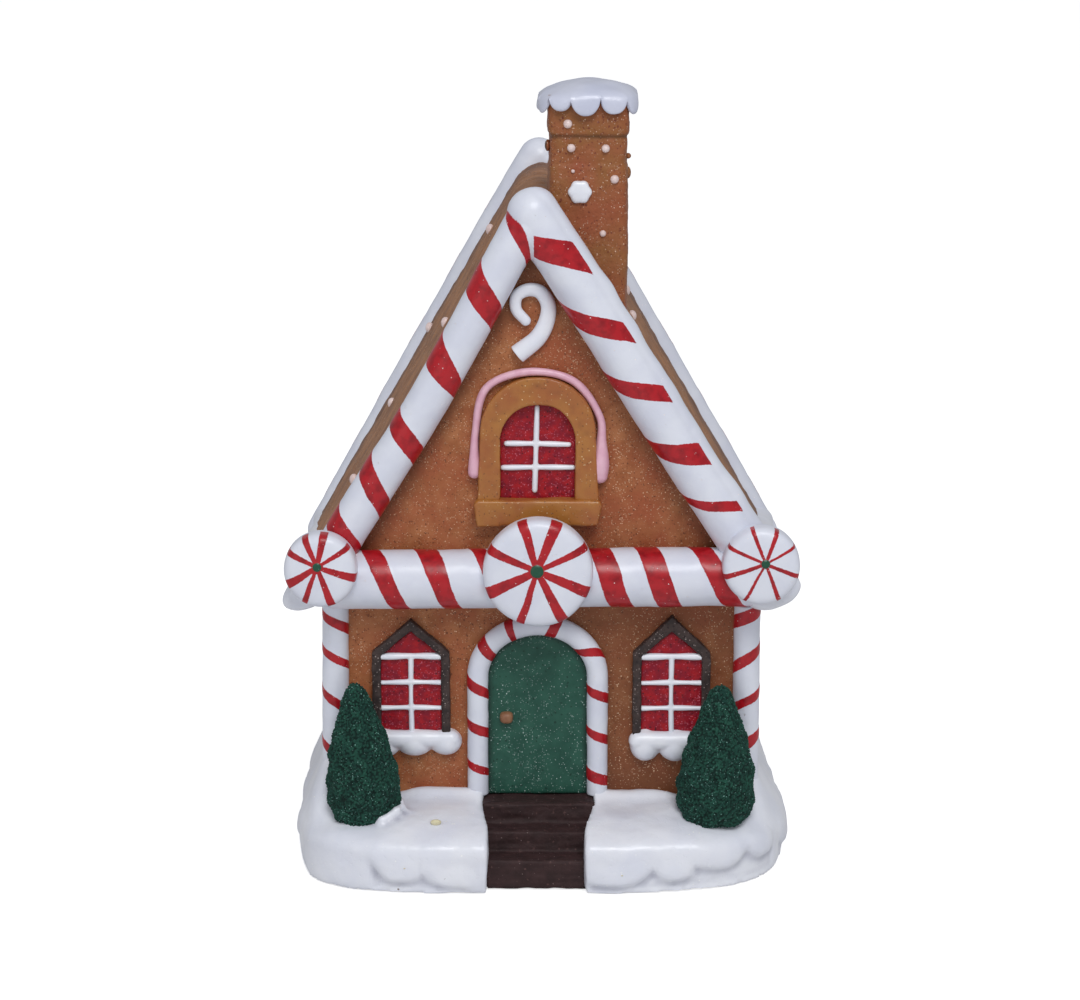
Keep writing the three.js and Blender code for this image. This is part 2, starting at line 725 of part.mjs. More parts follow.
/** The chimney with its sugar pearls, seated on the roof slab. */
function chimney() {
  const front = CHIMNEY_Y - CHIMNEY_HALF;
  const pearls = CHIMNEY_PEARLS.map(([x, z, radius]) => pearl(x, front, z, radius));
  for (const turn of [90, 180, 270]) {
    for (const [across, z] of SIDE_PEARLS) {
      const onFace = pearl(across, -CHIMNEY_HALF, z, SIDE_PEARL_RADIUS);
      pearls.push(onFace.rotateZ(turn * DEG).translate(CHIMNEY_X, CHIMNEY_Y, 0));
    }
  }
  return combine([chimneyStack(), ...pearls], [underRoof(GAP)]);
}

/** The scalloped icing button on the chimney. */
function chimneyButton() {
  const profile = [[0, 0], [1, 0], [1, 0.6 * BUTTON.depth], [0.8, BUTTON.depth], [0, BUTTON.depth]];
  const points = profile.map(([share, out]) => new THREE.Vector2(share * BUTTON.radius, -out));
  const scalloped = warp(new THREE.LatheGeometry(points, 18), (point) => {
    const petal = 1 + BUTTON.scallop * Math.cos(Math.atan2(point.z, point.x) * BUTTON.petals);
    return point.clone().set(point.x * petal, point.y, point.z * petal);
  });
  return scalloped.translate(BUTTON.x, CHIMNEY_Y - CHIMNEY_HALF - GAP, BUTTON.z);
}

/** The snow cap on the chimney, with drips hanging over the collar. */
function chimneySnow() {
  const profile = [
    [0, CAP_RIM_Z],
    [CAP_HALF - 1.2, CAP_RIM_Z - 0.5],
    [CAP_HALF - 0.1, CAP_RIM_Z + 1.6],
    [CAP_HALF - 0.6, CAP_RIM_Z + 4.4],
    [CAP_HALF - 3.8, CAP_TOP_Z - 1.1],
    [0, CAP_TOP_Z],
  ];
  const drips = (point) => {
    const angle = Math.atan2(point.y, point.x);
    const low = THREE.MathUtils.clamp((CAP_RIM_Z + 2.4 - point.z) / 2.4, 0, 1);
    const reach = Math.hypot(point.x, point.y) / CAP_HALF;
    const drip = CAP_DRIP * Math.cos(angle * CAP_LOBES) * low * Math.min(reach, 1);
    return point.set(point.x, point.y, point.z - drip);
  };
  const cap = squareTurned(profile, CHIMNEY_X, CHIMNEY_Y, 4, 40, drips);
  return combine([cap], [chimneyStack(GAP)]);
}

// ---------------------------------------------------------------- trees, steps and snow base

/** A bottle brush tree with a lumpy outline. */
function tree({ x, tipX, footZ, height, radius }, grow = 0) {
  const profile = [
    [0, 0], [0.68, 0], [0.91, 0.06], [1, 0.2], [0.98, 0.32], [0.9, 0.44],
    [0.78, 0.57], [0.61, 0.7], [0.44, 0.83], [0.27, 0.94], [0, 1],
  ];
  const points = profile.map(([share, rise]) => new THREE.Vector2(share, rise));
  return warp(new THREE.LatheGeometry(points, 14).rotateX(90 * DEG), (point) => {
    const angle = Math.atan2(point.y, point.x);
    const lump = 1 + TREE_LUMP * (Math.sin(angle * 5 + point.z * 21) + Math.cos(angle * 7 - point.z * 33));
    const share = Math.hypot(point.x, point.y);
    const reach = share > 0 ? (share * radius * lump + grow) / share : 0;
    const lean = (tipX - x) * point.z;
    const rise = footZ + point.z * height + (point.z > 0.5 ? grow : -grow);
    return new THREE.Vector3(x + lean + point.x * reach, TREE_Y + point.y * reach, rise);
  });
}

/** The three steps up to the door. */
function steps() {
  return combine(STEPS.map(([left, right, out, z]) => (
    box(left, right, FRONT_WALL_Y - out, FRONT_WALL_Y - GAP, 0, z)
  )));
}

/** The notch that the steps leave in the snow, open above and in front. */
function stepNotch() {
  const [lowest] = STEPS.slice(-1);
  const cuts = STEPS.map(([left, right, out]) => {
    const front = out === lowest[2] ? -BASE_HALF_DEPTH - 5 : FRONT_WALL_Y - out - GAP;
    return box(left - GAP, right + GAP, front, FRONT_WALL_Y, -5, CORNER_SNOW_Z + 5);
  });
  return combine(cuts);
}

/** How far a superellipse reaches from its middle in a direction. */
function superReach(c, s, halfX, halfY, exponent) {
  return ((Math.abs(c) / halfX) ** exponent + (Math.abs(s) / halfY) ** exponent) ** (-1 / exponent);
}

/** Snow height against the wall at a point of the walls' outline. */
function wallSnowHeight(x, y) {
  const corner = THREE.MathUtils.smoothstep(Math.abs(x), ...CORNER_DRIFT);
  const backward = THREE.MathUtils.smoothstep(y, FRONT_WALL_Y, BACK_WALL_Y);
  const middle = THREE.MathUtils.lerp(FRONT_SNOW_Z, BACK_SNOW_Z, backward);
  const dip = SIDE_DIP * Math.exp(-(((y - HOUSE_MIDDLE_Y) / SIDE_DIP_SPREAD) ** 2));
  const side = CORNER_SNOW_Z - BACK_DRIFT_DROP * backward - dip;
  return THREE.MathUtils.lerp(middle, side, corner);
}

/** A point of the snow surface: direction from the middle, and 0 at the edge to 1 at the wall. */
function snowPoint(c, s, inward) {
  const middleX = (BASE_LEFT_X + BASE_RIGHT_X) / 2;
  const halfX = (BASE_RIGHT_X - BASE_LEFT_X) / 2;
  const edgeReach = superReach(c, s, halfX, BASE_HALF_DEPTH, BASE_SQUARENESS);
  const wallReach = superReach(c, s, WALL_HALF_WIDTH, HOUSE_DEPTH / 2, 16);
  const edge = new THREE.Vector3(middleX + c * edgeReach, s * edgeReach, BASE_WAIST_Z);
  const wall = new THREE.Vector3(c * wallReach, HOUSE_MIDDLE_Y + s * wallReach, 0);
  wall.z = wallSnowHeight(wall.x, wall.y);
  const point = edge.clone().lerp(wall, inward);
  const width = Math.hypot(edge.x - wall.x, edge.y - wall.y);
  const rounding = Math.min(1, (width * inward) / LEDGE_ROUNDING);
  const ledge = BASE_WAIST_Z + LEDGE_RISE * Math.sqrt(1 - (1 - rounding) ** 2);
  const flat = ledge + (wall.z - BASE_WAIST_Z - LEDGE_RISE) * inward ** 1.5;
  const steep = THREE.MathUtils.lerp(BASE_WAIST_Z, wall.z, Math.min(1, inward / STEEP_SHARE));
  const sideways = THREE.MathUtils.smoothstep(Math.abs(wall.x), ...CORNER_DRIFT);
  point.z = THREE.MathUtils.lerp(flat, steep, sideways);
  return point;
}

/** The bare snow bank, before lobes and pockets. */
function snowBank() {
  const rings = [
    { inset: FOOT_INSET, z: 0 },
    { inset: FOOT_INSET - 1.4, z: 3.6 },
    { inset: 1, z: 7.5 },
    ...[0, 0.08, 0.2, 0.38, 0.6, 0.85, 1.1].map((inward) => ({ inward })),
  ];
  const profile = [new THREE.Vector2(0, 0), ...rings.map((_, ring) => new THREE.Vector2(1, ring + 1))];
  profile.push(new THREE.Vector2(0, rings.length + 1));
  const geometry = new THREE.LatheGeometry(profile, BASE_SEGMENTS).rotateX(90 * DEG);
  return warp(geometry, (point) => {
    const reach = Math.hypot(point.x, point.y);
    const ring = Math.round(point.z);
    if (reach < 0.5) {
      return new THREE.Vector3(0, 0, ring === 0 ? 0 : FRONT_SNOW_Z);
    }
    const [c, s] = [point.x / reach, point.y / reach];
    const { inset, z, inward } = rings[ring - 1];
    if (inward !== undefined) {
      return snowPoint(c, s, inward);
    }
    const edge = snowPoint(c, s, 0);
    return edge.addScaledVector(new THREE.Vector3(c, s, 0), -inset).setZ(z);
  });
}

/** A scallop on the edge of the bank, lying along the outline. */
function snowLobe(angle, half, height) {
  const [before, edge, after] = [-2, 0, 2].map((turn) => {
    const direction = angle + turn * DEG;
    return snowPoint(Math.cos(direction), Math.sin(direction), 0);
  });
  const along = after.sub(before).normalize();
  const lobe = ellipsoid(0, LOBE_DEPTH - LOBE_PROUD, 0, half, LOBE_DEPTH, height, 6);
  return lobe.rotateZ(Math.atan2(along.y, along.x)).translate(edge.x, edge.y, LOBE_MIDDLE_Z);
}

/** Fat scallops of snow hanging over the foot of the base, all the way round. */
function snowLobes() {
  const draw = seededDraw(29);
  const lobes = FRONT_LOBES.map(([x, half]) => snowLobe(Math.atan2(-BASE_HALF_DEPTH, x), half, LOBE_HEIGHT));
  for (let index = 0; index < SIDE_LOBE_COUNT; index += 1) {
    const share = index / (SIDE_LOBE_COUNT - 1);
    const angle = THREE.MathUtils.lerp(FIRST_SIDE_LOBE, LAST_SIDE_LOBE, share) + 4 * draw() - 2;
    lobes.push(snowLobe(angle * DEG, THREE.MathUtils.lerp(...SIDE_LOBE_HALF, draw()), LOBE_HEIGHT - draw()));
  }
  return lobes;
}

// ---------------------------------------------------------------- finishes and assembly

const FINISH = {
  gingerbread: { color: 0xa5693c, roughness: 0.62, metalness: 0 },
  biscuit: { color: 0xb07330, roughness: 0.5, metalness: 0 },
  icing: { color: 0xdcdfe8, roughness: 0.3, metalness: 0 },
  snow: { color: 0xd8dbe6, roughness: 0.32, metalness: 0 },
  candy: { color: 0xd9434a, roughness: 0.28, metalness: 0 },
  redGlitter: { color: 0x9c1526, roughness: 0.4, metalness: 0.1 },
  greenGlitter: { color: 0x23543f, roughness: 0.5, metalness: 0.1 },
  foliage: { color: 0x1c4234, roughness: 0.85, metalness: 0 },
  chocolate: { color: 0x3a2725, roughness: 0.7, metalness: 0 },
  pink: { color: 0xd7a0b9, roughness: 0.35, metalness: 0 },
};

/** A named mesh in one of the finishes. */
function mesh(name, geometry, finish) {
  const piece = new THREE.Mesh(geometry, new THREE.MeshStandardMaterial(finish));
  piece.name = name;
  return piece;
}

/** Places a copy of a geometry made for a wall's own frame. */
function onWall(geometry, place) {
  return geometry.clone().applyMatrix4(place);
}

const FRONT = new THREE.Matrix4().makeTranslation(0, FRONT_WALL_Y, 0);
const BACK = new THREE.Matrix4().makeRotationZ(Math.PI).setPosition(0, BACK_WALL_Y, 0);
const CORNERS = {
  front_left: [-WALL_HALF_WIDTH, FRONT_WALL_Y, -0.8],
  front_right: [WALL_HALF_WIDTH, FRONT_WALL_Y, 0],
  back_left: [-WALL_HALF_WIDTH, BACK_WALL_Y, 0],
  back_right: [WALL_HALF_WIDTH, BACK_WALL_Y, 0],
};

const cornerCutters = Object.values(CORNERS).map(([x, y, lean]) => cornerCane(x, y, lean, GAP));
const gableCutters = [gableCane(-1, GAP), gableCane(1, GAP)];
const wallCutters = [FRONT, BACK].flatMap((place) => (
  [...gableCutters, eaveCane(GAP)].map((cutter) => onWall(cutter, place))
));
const treeCutters = Object.values(TREES).map((size) => tree(size, GAP));
const doorCutter = onWall(doorCane(GAP), FRONT);

/** The canes of one gable and the mints over their joints, in the frame of its wall. */
function gableTrim(name, mints) {
  const group = new THREE.Group();
  const left = combine([gableCane(-1)], [gableCane(1, GAP), eaveCane(GAP)]);
  const right = combine([gableCane(1)], [eaveCane(GAP)]);
  group.add(
    mesh(`gable_cane_${name}_left`, left, FINISH.candy),
    mesh(`gable_cane_${name}_right`, right, FINISH.candy),
    mesh(`eave_cane_${name}`, combine([eaveCane()]), FINISH.candy),
  );
  for (const [place, size] of Object.entries(mints)) {
    const disc = combine([mint(size)], [eaveCane(GAP), ...gableCutters]);
    group.add(mesh(`mint_${name}_${place}`, disc, FINISH.candy));
  }
  return group;
}

/** The upper window of the front gable, as a group at the foot of its pane. */
function upperWindow() {
  const group = new THREE.Group();
  group.add(
    mesh("upper_frame", upperFrame(), FINISH.biscuit),
    mesh("upper_ledge", upperLedge(), FINISH.biscuit),
    mesh("upper_pane", upperPane(), FINISH.redGlitter),
    mesh("upper_bars", upperBars(), FINISH.icing),
    mesh("pink_icing", pinkIcing(), FINISH.pink),
  );
  group.position.set(UPPER_WINDOW_X, 0, UPPER_WINDOW_Z);
  return group;
}

/** Everything on the front wall, in the wall's frame. */
function frontWall() {
  const group = gableTrim("front", {
    centre: MINT_CENTRE,
    left: { ...MINT_CORNER, x: -MINT_CORNER.x },
    right: MINT_CORNER,
  });
  for (const [name, side] of [["left", -1], ["right", 1]]) {
    const place = new THREE.Matrix4().makeTranslation(-side * WINDOW_X, -FRONT_WALL_Y, -WINDOW_FOOT_Z);
    const cutters = treeCutters.map((cutter) => onWall(cutter, place));
    const window = lowerWindow(`window_${name}`, -side, cutters);
    window.position.set(side * WINDOW_X, 0, WINDOW_FOOT_Z);
    group.add(window);
  }
  const leaf = combine([doorLeaf()], [doorCane(GAP)]);
  group.add(
    mesh("door", leaf, FINISH.greenGlitter),
    mesh("door_knob", doorKnob(), FINISH.biscuit),
    mesh("door_cane", combine([doorCane()]), FINISH.candy),
    mesh("icing_hook", icingHook(), FINISH.icing),
    upperWindow(),
  );
  group.position.y = FRONT_WALL_Y;
  return group;
}

/** The plainer back wall: its canes, one mint and one window. */
function backWall() {
  const group = gableTrim("back", { centre: MINT_CENTRE });
  const window = lowerWindow("window_back", 1);
  window.position.z = WINDOW_FOOT_Z;
  group.add(window);
  group.rotation.z = Math.PI;
  group.position.y = BACK_WALL_Y;
  return group;
}

/** A side wall's window, turned to face outwards. */
function sideWindow(name, side) {
  const window = lowerWindow(`window_${name}`, side);
  window.rotation.z = side * 90 * DEG;
  window.position.set(side * WALL_HALF_WIDTH, HOUSE_MIDDLE_Y, WINDOW_FOOT_Z + 1);
  return window;
}

/** Walls, roof, eaves and chimney. */
function houseShell() {
  const group = new THREE.Group();
  const body = combine([houseBody()], [...cornerCutters, ...wallCutters, doorCutter]);
  group.add(mesh("house_body", body, FINISH.gingerbread));
  for (const [name, side] of [["left", -1], ["right", 1]]) {
    const slab = combine([roofSlab(side), ...roofPearls(side)], wallCutters);
    const snowCutters = [houseBody(GAP), roofSlab(side, GAP), ...wallCutters, ...cornerCutters];
    group.add(
      mesh(`roof_${name}`, slab, FINISH.gingerbread),
      mesh(`eave_snow_${name}`, combine([eaveSnow(side)], snowCutters), FINISH.snow),
    );
  }
  for (const [name, [x, y, lean]] of Object.entries(CORNERS)) {
    const cane = combine([cornerCane(x, y, lean)], wallCutters);
    group.add(mesh(`corner_cane_${name}`, cane, FINISH.candy));
  }
  group.add(
    mesh("chimney", chimney(), FINISH.gingerbread),
    mesh("chimney_button", combine([chimneyButton()]), FINISH.icing),
    mesh("chimney_snow", chimneySnow(), FINISH.snow),
  );
  return group;
}

/** The snow base with its steps and trees. */
function grounds() {
  const group = new THREE.Group();
  const pockets = [houseBody(GAP), ...cornerCutters, doorCutter, stepNotch(), ...treeCutters];
  group.add(
    mesh("snow_base", combine([snowBank(), ...snowLobes()], pockets), FINISH.snow),
    mesh("steps", steps(), FINISH.chocolate),
  );
  for (const [name, size] of Object.entries(TREES)) {
    group.add(mesh(`tree_${name}`, combine([tree(size)], cornerCutters), FINISH.foliage));
  }
  return group;
}

const house = new THREE.Group();
house.add(grounds(), houseShell(), frontWall(), backWall());
house.add(sideWindow("side_left", -1), sideWindow("side_right", 1));

export default house;
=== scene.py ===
"""Looks of a moulded gingerbread house figurine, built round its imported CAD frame.

Sizes are millimetres until a mesh is written, which is in metres. +Z is up and the front of the house
faces -Y. Pieces on a wall are made in that wall's own frame: X across, Z up and -Y out of the wall.
"""

from __future__ import annotations

import itertools
import logging
import math
from dataclasses import dataclass, field, replace
from enum import Enum
from typing import Callable, Iterable, Sequence

import bpy
import numpy as np
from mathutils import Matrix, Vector
from mathutils.geometry import tessellate_polygon


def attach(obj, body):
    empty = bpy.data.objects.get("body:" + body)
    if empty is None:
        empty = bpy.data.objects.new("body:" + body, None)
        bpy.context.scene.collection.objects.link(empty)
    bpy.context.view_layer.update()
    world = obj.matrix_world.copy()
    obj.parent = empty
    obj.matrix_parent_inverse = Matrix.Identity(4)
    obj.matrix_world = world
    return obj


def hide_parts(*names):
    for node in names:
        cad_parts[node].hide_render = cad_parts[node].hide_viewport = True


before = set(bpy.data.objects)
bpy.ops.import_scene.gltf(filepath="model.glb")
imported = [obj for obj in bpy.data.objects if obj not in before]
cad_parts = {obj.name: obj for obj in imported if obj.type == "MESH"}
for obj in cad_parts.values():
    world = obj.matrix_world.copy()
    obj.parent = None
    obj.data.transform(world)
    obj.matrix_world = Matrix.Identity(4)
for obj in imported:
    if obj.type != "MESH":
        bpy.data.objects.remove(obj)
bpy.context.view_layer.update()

LOG = logging.getLogger("gingerbread_house")
Array = np.ndarray
Colour = tuple[int, int, int]  # a painter's red, green and blue, from 0 to 255
Pair = tuple[float, float]
Triple = tuple[float, float, float]
Quad = tuple[float, float, float, float]
Socket = bpy.types.NodeSocket

MM = 0.001
FRONT_WALL_Y = -39.0
BACK_WALL_Y = 47.0
HOUSE_MIDDLE_Y = 4.0
WALL_HALF_WIDTH = 60.5
ROOF_POINT_Z = 206.3
ROOF_PITCH = math.radians(60)
CANE_OUT = 5.5
SUNK = 0.6  # how far a decoration's back goes into what carries it
GAP = 0.3  # gap that the solids keep to the wall, which a decoration's depth is added to
UNPAINTED = -9.0  # distance inside the paint where there is none near


# ---------------- numbers and noise


def mix(first: Array | float, second: Array | float, share: Array | float) -> Array | float:
    """Blend two values: the first at share 0 and the second at share 1."""
    return first + (second - first) * share


def soft_step(value: Array, low: float, high: float) -> Array:
    """Rise smoothly from 0 at low to 1 at high."""
    share = np.clip((value - low) / (high - low), 0.0, 1.0)
    return share * share * (3.0 - 2.0 * share)


def lattice(cells: Array, seed: int) -> Array:
    """Give each whole-numbered cell a repeatable draw.

    Args:
        cells: Cell numbers, with three columns in the last place.
        seed: Picks one of many sets of draws.

    Returns:
        Draws from 0 to 1, one for each cell.
    """
    whole = cells.astype(np.int64)
    code = (whole[..., 0] * 73856093) ^ (whole[..., 1] * 19349663) ^ (whole[..., 2] * 83492791)
    code = (code ^ (seed * 2654435761)) & 0xFFFFFFFF
    code = ((code ^ (code >> 13)) * 1274126177) & 0xFFFFFFFF
    code = ((code ^ (code >> 16)) * 668265263) & 0xFFFFFFFF
    return ((code ^ (code >> 15)) & 0xFFFFFF) / 0xFFFFFF


def lumps(points: Array, size: float | Sequence[float], seed: int) -> Array:
    """Smooth noise over points.

    Args:
        points: Places in millimetres, in an array of any shape with the axes last.
        size: Width of a lump, or its width in X, Y and Z.
        seed: Picks the pattern.

    Returns:
        Heights from -1 to 1.
    """
    place = points / np.asarray(size, float)
    base = np.floor(place)
    ease = place - base
    ease = ease * ease * (3.0 - 2.0 * ease)
    total = np.zeros(points.shape[:-1])
    for corner in itertools.product((0, 1), repeat=3):
        side = np.array(corner)
        weight = np.prod(np.where(side == 1, ease, 1.0 - ease), axis=-1)
        total += weight * lattice(base + side, seed)
    return 2.0 * total - 1.0


def grains(points: Array, size: float, seed: int) -> Array:
    """Distance from each point to the nearest of many scattered grains.

    Args:
        points: Places in millimetres.
        size: Average spacing of the grains.
        seed: Picks the pattern.

    Returns:
        Distances as shares of the spacing, 0 in the middle of a grain.
    """
    place = points / size
    base = np.floor(place)
    nearest = np.full(len(points), 9.0)
    for step in itertools.product((-1, 0, 1), repeat=3):
        cell = base + np.array(step)
        middle = cell + np.stack([lattice(cell, seed + axis) for axis in range(3)], axis=1)
        nearest = np.minimum(nearest, np.sum((middle - place) ** 2, axis=1))
    return np.sqrt(nearest)


def xyz(x: Array | float, y: Array | float, z: Array | float) -> Array:
    """Put places together from their coordinates, which may be of unlike shapes."""
    return np.stack(np.broadcast_arrays(x, y, z), axis=-1)


def full_turn(count: int) -> Array:
    """Angles spaced evenly round a circle."""
    return np.linspace(0, 2 * math.pi, count, endpoint=False)


def seeded_draws(seed: int) -> Iterable[float]:
    """Yield a repeatable run of draws between 0 and 1."""
    state = seed
    while True:
        state = (state * 16807) % 2147483647
        yield state / 2147483647


# ---------------- surfaces


@dataclass
class Surface:
    """Points, four-cornered faces and named values on the points.

    A three-cornered face repeats its last corner.
    """

    points: Array
    faces: Array
    values: dict[str, Array] = field(default_factory=dict)

    @staticmethod
    def joined(parts: Iterable[Surface]) -> Surface:
        """Put several surfaces into one; a value that a part lacks is 0 there."""
        parts = list(parts)
        names = {name for part in parts for name in part.values}
        starts = np.cumsum([0] + [len(part.points) for part in parts[:-1]])
        faces = np.vstack([part.faces + start for part, start in zip(parts, starts)])
        values = {
            name: np.concatenate([part.values.get(name, np.zeros(len(part.points))) for part in parts])
            for name in names
        }
        return Surface(np.vstack([part.points for part in parts]), faces, values)

    def normals(self) -> Array:
        """Unit directions out of the surface, one for each point."""
        corners = self.points[self.faces]
        facing = np.cross(corners[:, 2] - corners[:, 0], corners[:, 3] - corners[:, 1])
        total = np.empty_like(self.points)
        for axis in range(3):
            weights = np.repeat(facing[:, axis], 4)
            total[:, axis] = np.bincount(self.faces.ravel(), weights, len(self.points))
        return total / np.maximum(np.linalg.norm(total, axis=1, keepdims=True), 1e-12)

    def hollows(self, passes: int) -> Array:
        """Measure how far each point lies in a hollow.

        Args:
            passes: How widely the measure is spread over its neighbours.

        Returns:
            Depth in millimetres below the neighbours' mean, negative on a crest.
        """
        ends = np.concatenate([self.faces[:, [i, (i + 1) % 4]] for i in range(4)])
        ends = ends[ends[:, 0] != ends[:, 1]]
        count = np.bincount(ends[:, 0], minlength=len(self.points)).clip(1)

        def around(value: Array) -> Array:
            """Mean of a value over each point's neighbours."""
            return np.bincount(ends[:, 0], value[ends[:, 1]], len(self.points)) / count

        mean = np.stack([around(self.points[:, axis]) for axis in range(3)], axis=1)
        depth = np.sum((mean - self.points) * self.normals(), axis=1)
        for _ in range(passes):
            depth = around(depth)
        return depth

    def shaded(self, depth: float) -> Surface:
        """Paint shade into the hollows: half dark where they are this deep, and less where they are
        shallower.
        """
        return self.valued(hollow=np.clip(self.hollows(2) / depth, 0, 1) * 0.5)

    def lifted(self, height: Array) -> Surface:
        """Move every point out along its normal by its own height."""
        return replace(self, points=self.points + self.normals() * height[:, None])

    def moved(self, x: float = 0.0, y: float = 0.0, z: float = 0.0) -> Surface:
        """Shift the whole surface."""
        return replace(self, points=self.points + np.array([x, y, z]))

    def turned(self, degrees: float) -> Surface:
        """Turn the whole surface about the upright axis."""
        c, s = math.cos(math.radians(degrees)), math.sin(math.radians(degrees))
        return replace(self, points=self.points @ np.array([[c, s, 0.0], [-s, c, 0.0], [0.0, 0.0, 1.0]]))

    def grounded(self) -> Surface:
        """Lift what lies below the ground onto it."""
        return replace(self, points=np.maximum(self.points, [-np.inf, -np.inf, 0.0]))

    def valued(self, **values: Array | float) -> Surface:
        """Add named values on the points."""
        full = {name: np.full(len(self.points), value) for name, value in values.items()}
        return replace(self, values={**self.values, **full})

    def mesh(self, name: str, scale: float) -> bpy.types.Mesh:
        """Write the surface as a smooth Blender mesh.

        Args:
            name: Name of the mesh.
            scale: Length of one millimetre in the mesh's units.

        Returns:
            The mesh, with the values as point attributes.
        """
        made = bpy.data.meshes.new(name)
        faces = [face[:3] if face[2] == face[3] else face for face in self.faces.tolist()]
        made.from_pydata((self.points * scale).tolist(), [], faces)
        for value_name, value in self.values.items():
            attribute = made.attributes.new(value_name, "FLOAT", "POINT")
            attribute.data.foreach_set("value", value.astype(np.float32))
        made.shade_smooth()
        return made


def read_surface(mesh: bpy.types.Mesh) -> Surface:
    """Read a Blender mesh of three- and four-cornered faces."""
    points = np.empty(len(mesh.vertices) * 3, np.float32)
    mesh.vertices.foreach_get("co", points)
    corners = np.empty(len(mesh.loops), np.int32)
    mesh.loops.foreach_get("vertex_index", corners)
    starts, totals = np.empty(len(mesh.polygons), np.int32), np.empty(len(mesh.polygons), np.int32)
    mesh.polygons.foreach_get("loop_start", starts)
    mesh.polygons.foreach_get("loop_total", totals)
    picks = starts[:, None] + np.minimum(np.arange(4), totals[:, None] - 1)
    return Surface(points.reshape(-1, 3).astype(float), corners[picks])


def shell(rings: Array, values: dict[str, Array] | None = None) -> Surface:
    """Close a skin over rings of points, with a fan over each end.

    Args:
        rings: Places, by ring, by place round the ring, and by axis.
        values: Named values, by ring and by place round the ring.

    Returns:
        The skin, with its faces looking outwards.
    """
    rows, columns = rings.shape[:2]
    here = np.arange(rows * columns).reshape(rows, columns)
    beside = np.roll(here, -1, axis=1)
    body = np.stack([here[:-1], beside[:-1], beside[1:], here[1:]], axis=-1).reshape(-1, 4)
    first, last = np.full(columns, rows * columns), np.full(columns, rows * columns + 1)
    fans = [
        np.stack([beside[0], here[0], first, first], axis=-1),
        np.stack([here[-1], beside[-1], last, last], axis=-1),
    ]
    faces = np.vstack([body, *fans])
    points = np.vstack([rings.reshape(-1, 3), rings[0].mean(axis=0), rings[-1].mean(axis=0)])
    a, b, c, d = (points[faces[:, corner]] for corner in range(4))
    volume = np.sum(a * np.cross(b, c)) + np.sum(a * np.cross(c, d))
    if volume < 0:
        faces = faces[:, [1, 0, 3, 2]]
        faces[-2 * columns:] = faces[-2 * columns:][:, [0, 1, 2, 2]]
    spread = {
        name: np.concatenate([value.ravel(), [value[0].mean(), value[-1].mean()]])
        for name, value in (values or {}).items()
    }
    return Surface(points, faces, spread)


def prism(outline: Array | Sequence, back: float, front: float) -> Surface:
    """Close a block over an outline in X and Z.

    Args:
        outline: Corners in X and Z, in order.
        back: Y of the back face.
        front: Y of the front face.

    Returns:
        The block, with its ends in triangles.
    """
    outline = np.asarray(outline, float)
    x, z = outline.T
    if np.sum(x * np.roll(z, -1) - np.roll(x, -1) * z) < 0:
        outline = outline[::-1]
    count = len(outline)
    rims = [np.insert(outline, 1, y, axis=1) for y in (front, back)]
    front_caps = []
    for a, b, c in tessellate_polygon([[Vector((a, b, 0.0)) for a, b in outline]]):
        (ax, az), (bx, bz), (cx, cz) = outline[a], outline[b], outline[c]
        turn = (bx - ax) * (cz - az) - (bz - az) * (cx - ax)
        front_caps.append((a, b, c, c) if turn > 0 else (a, c, b, b))
    back_caps = np.array(front_caps)[:, [0, 2, 1, 1]] + count
    here = np.arange(count)
    beside = np.roll(here, -1)
    sides = np.stack([beside, here, here + count, beside + count], axis=-1)
    return Surface(np.vstack(rims), np.vstack([front_caps, back_caps, sides]))


def blob(middle: Sequence[float], half: Sequence[float], columns: int = 28, power: float = 1.0) -> Surface:
    """A rounded drop.

    Args:
        middle: Its middle.
        half: Its half width in X, Y and Z.
        columns: Points round its girth.
        power: 1 for an ellipsoid, less for a squarer drop.

    Returns:
        The closed drop.
    """
    rise = np.linspace(-math.pi / 2, math.pi / 2, columns // 2 + 1)[1:-1, None]
    turn = full_turn(columns)[None, :]

    def squared(value: Array) -> Array:
        """Push a sine or cosine towards its ends."""
        return np.sign(value) * np.abs(value) ** power

    flat = squared(np.cos(rise))
    unit = xyz(flat * squared(np.cos(turn)), flat * squared(np.sin(turn)), squared(np.sin(rise)))
    return shell(np.asarray(middle) + unit * np.asarray(half))


def added(name: str, data: bpy.types.ID) -> bpy.types.Object:
    """Put a new object into the scene."""
    thing = bpy.data.objects.new(name, data)
    bpy.context.scene.collection.objects.link(thing)
    return thing


def fused(parts: Iterable[Surface], voxel: float, smooth: int, cutter: Surface | None = None) -> Surface:
    """Melt closed skins into one, as wet dough and icing run together.

    Args:
        parts: Closed skins that may overlap.
        voxel: Spacing of the new points.
        smooth: How often the skin is evened out.
        cutter: Closed skin that is cut away.

    Returns:
        One closed skin.
    """
    body = added("dough", Surface.joined(parts).mesh("dough", 1.0))
    made = [body]

    def modify(kind: str, **settings: object) -> None:
        """Add a modifier to the body."""
        modifier = body.modifiers.new(kind, kind)
        for name, value in settings.items():
            setattr(modifier, name, value)

    modify("REMESH", mode="VOXEL", voxel_size=voxel)
    if cutter is not None:
        made.append(added("cutter", cutter.mesh("cutter", 1.0)))
        modify("BOOLEAN", operation="DIFFERENCE", solver="EXACT", object=made[-1])
        modify("REMESH", mode="VOXEL", voxel_size=voxel)
    modify("SMOOTH", factor=0.5, iterations=smooth)
    shaped = body.evaluated_get(bpy.context.evaluated_depsgraph_get())
    result = read_surface(shaped.to_mesh())
    shaped.to_mesh_clear()
    for thing in made:
        mesh = thing.data
        bpy.data.objects.remove(thing)
        bpy.data.meshes.remove(mesh)
    return result


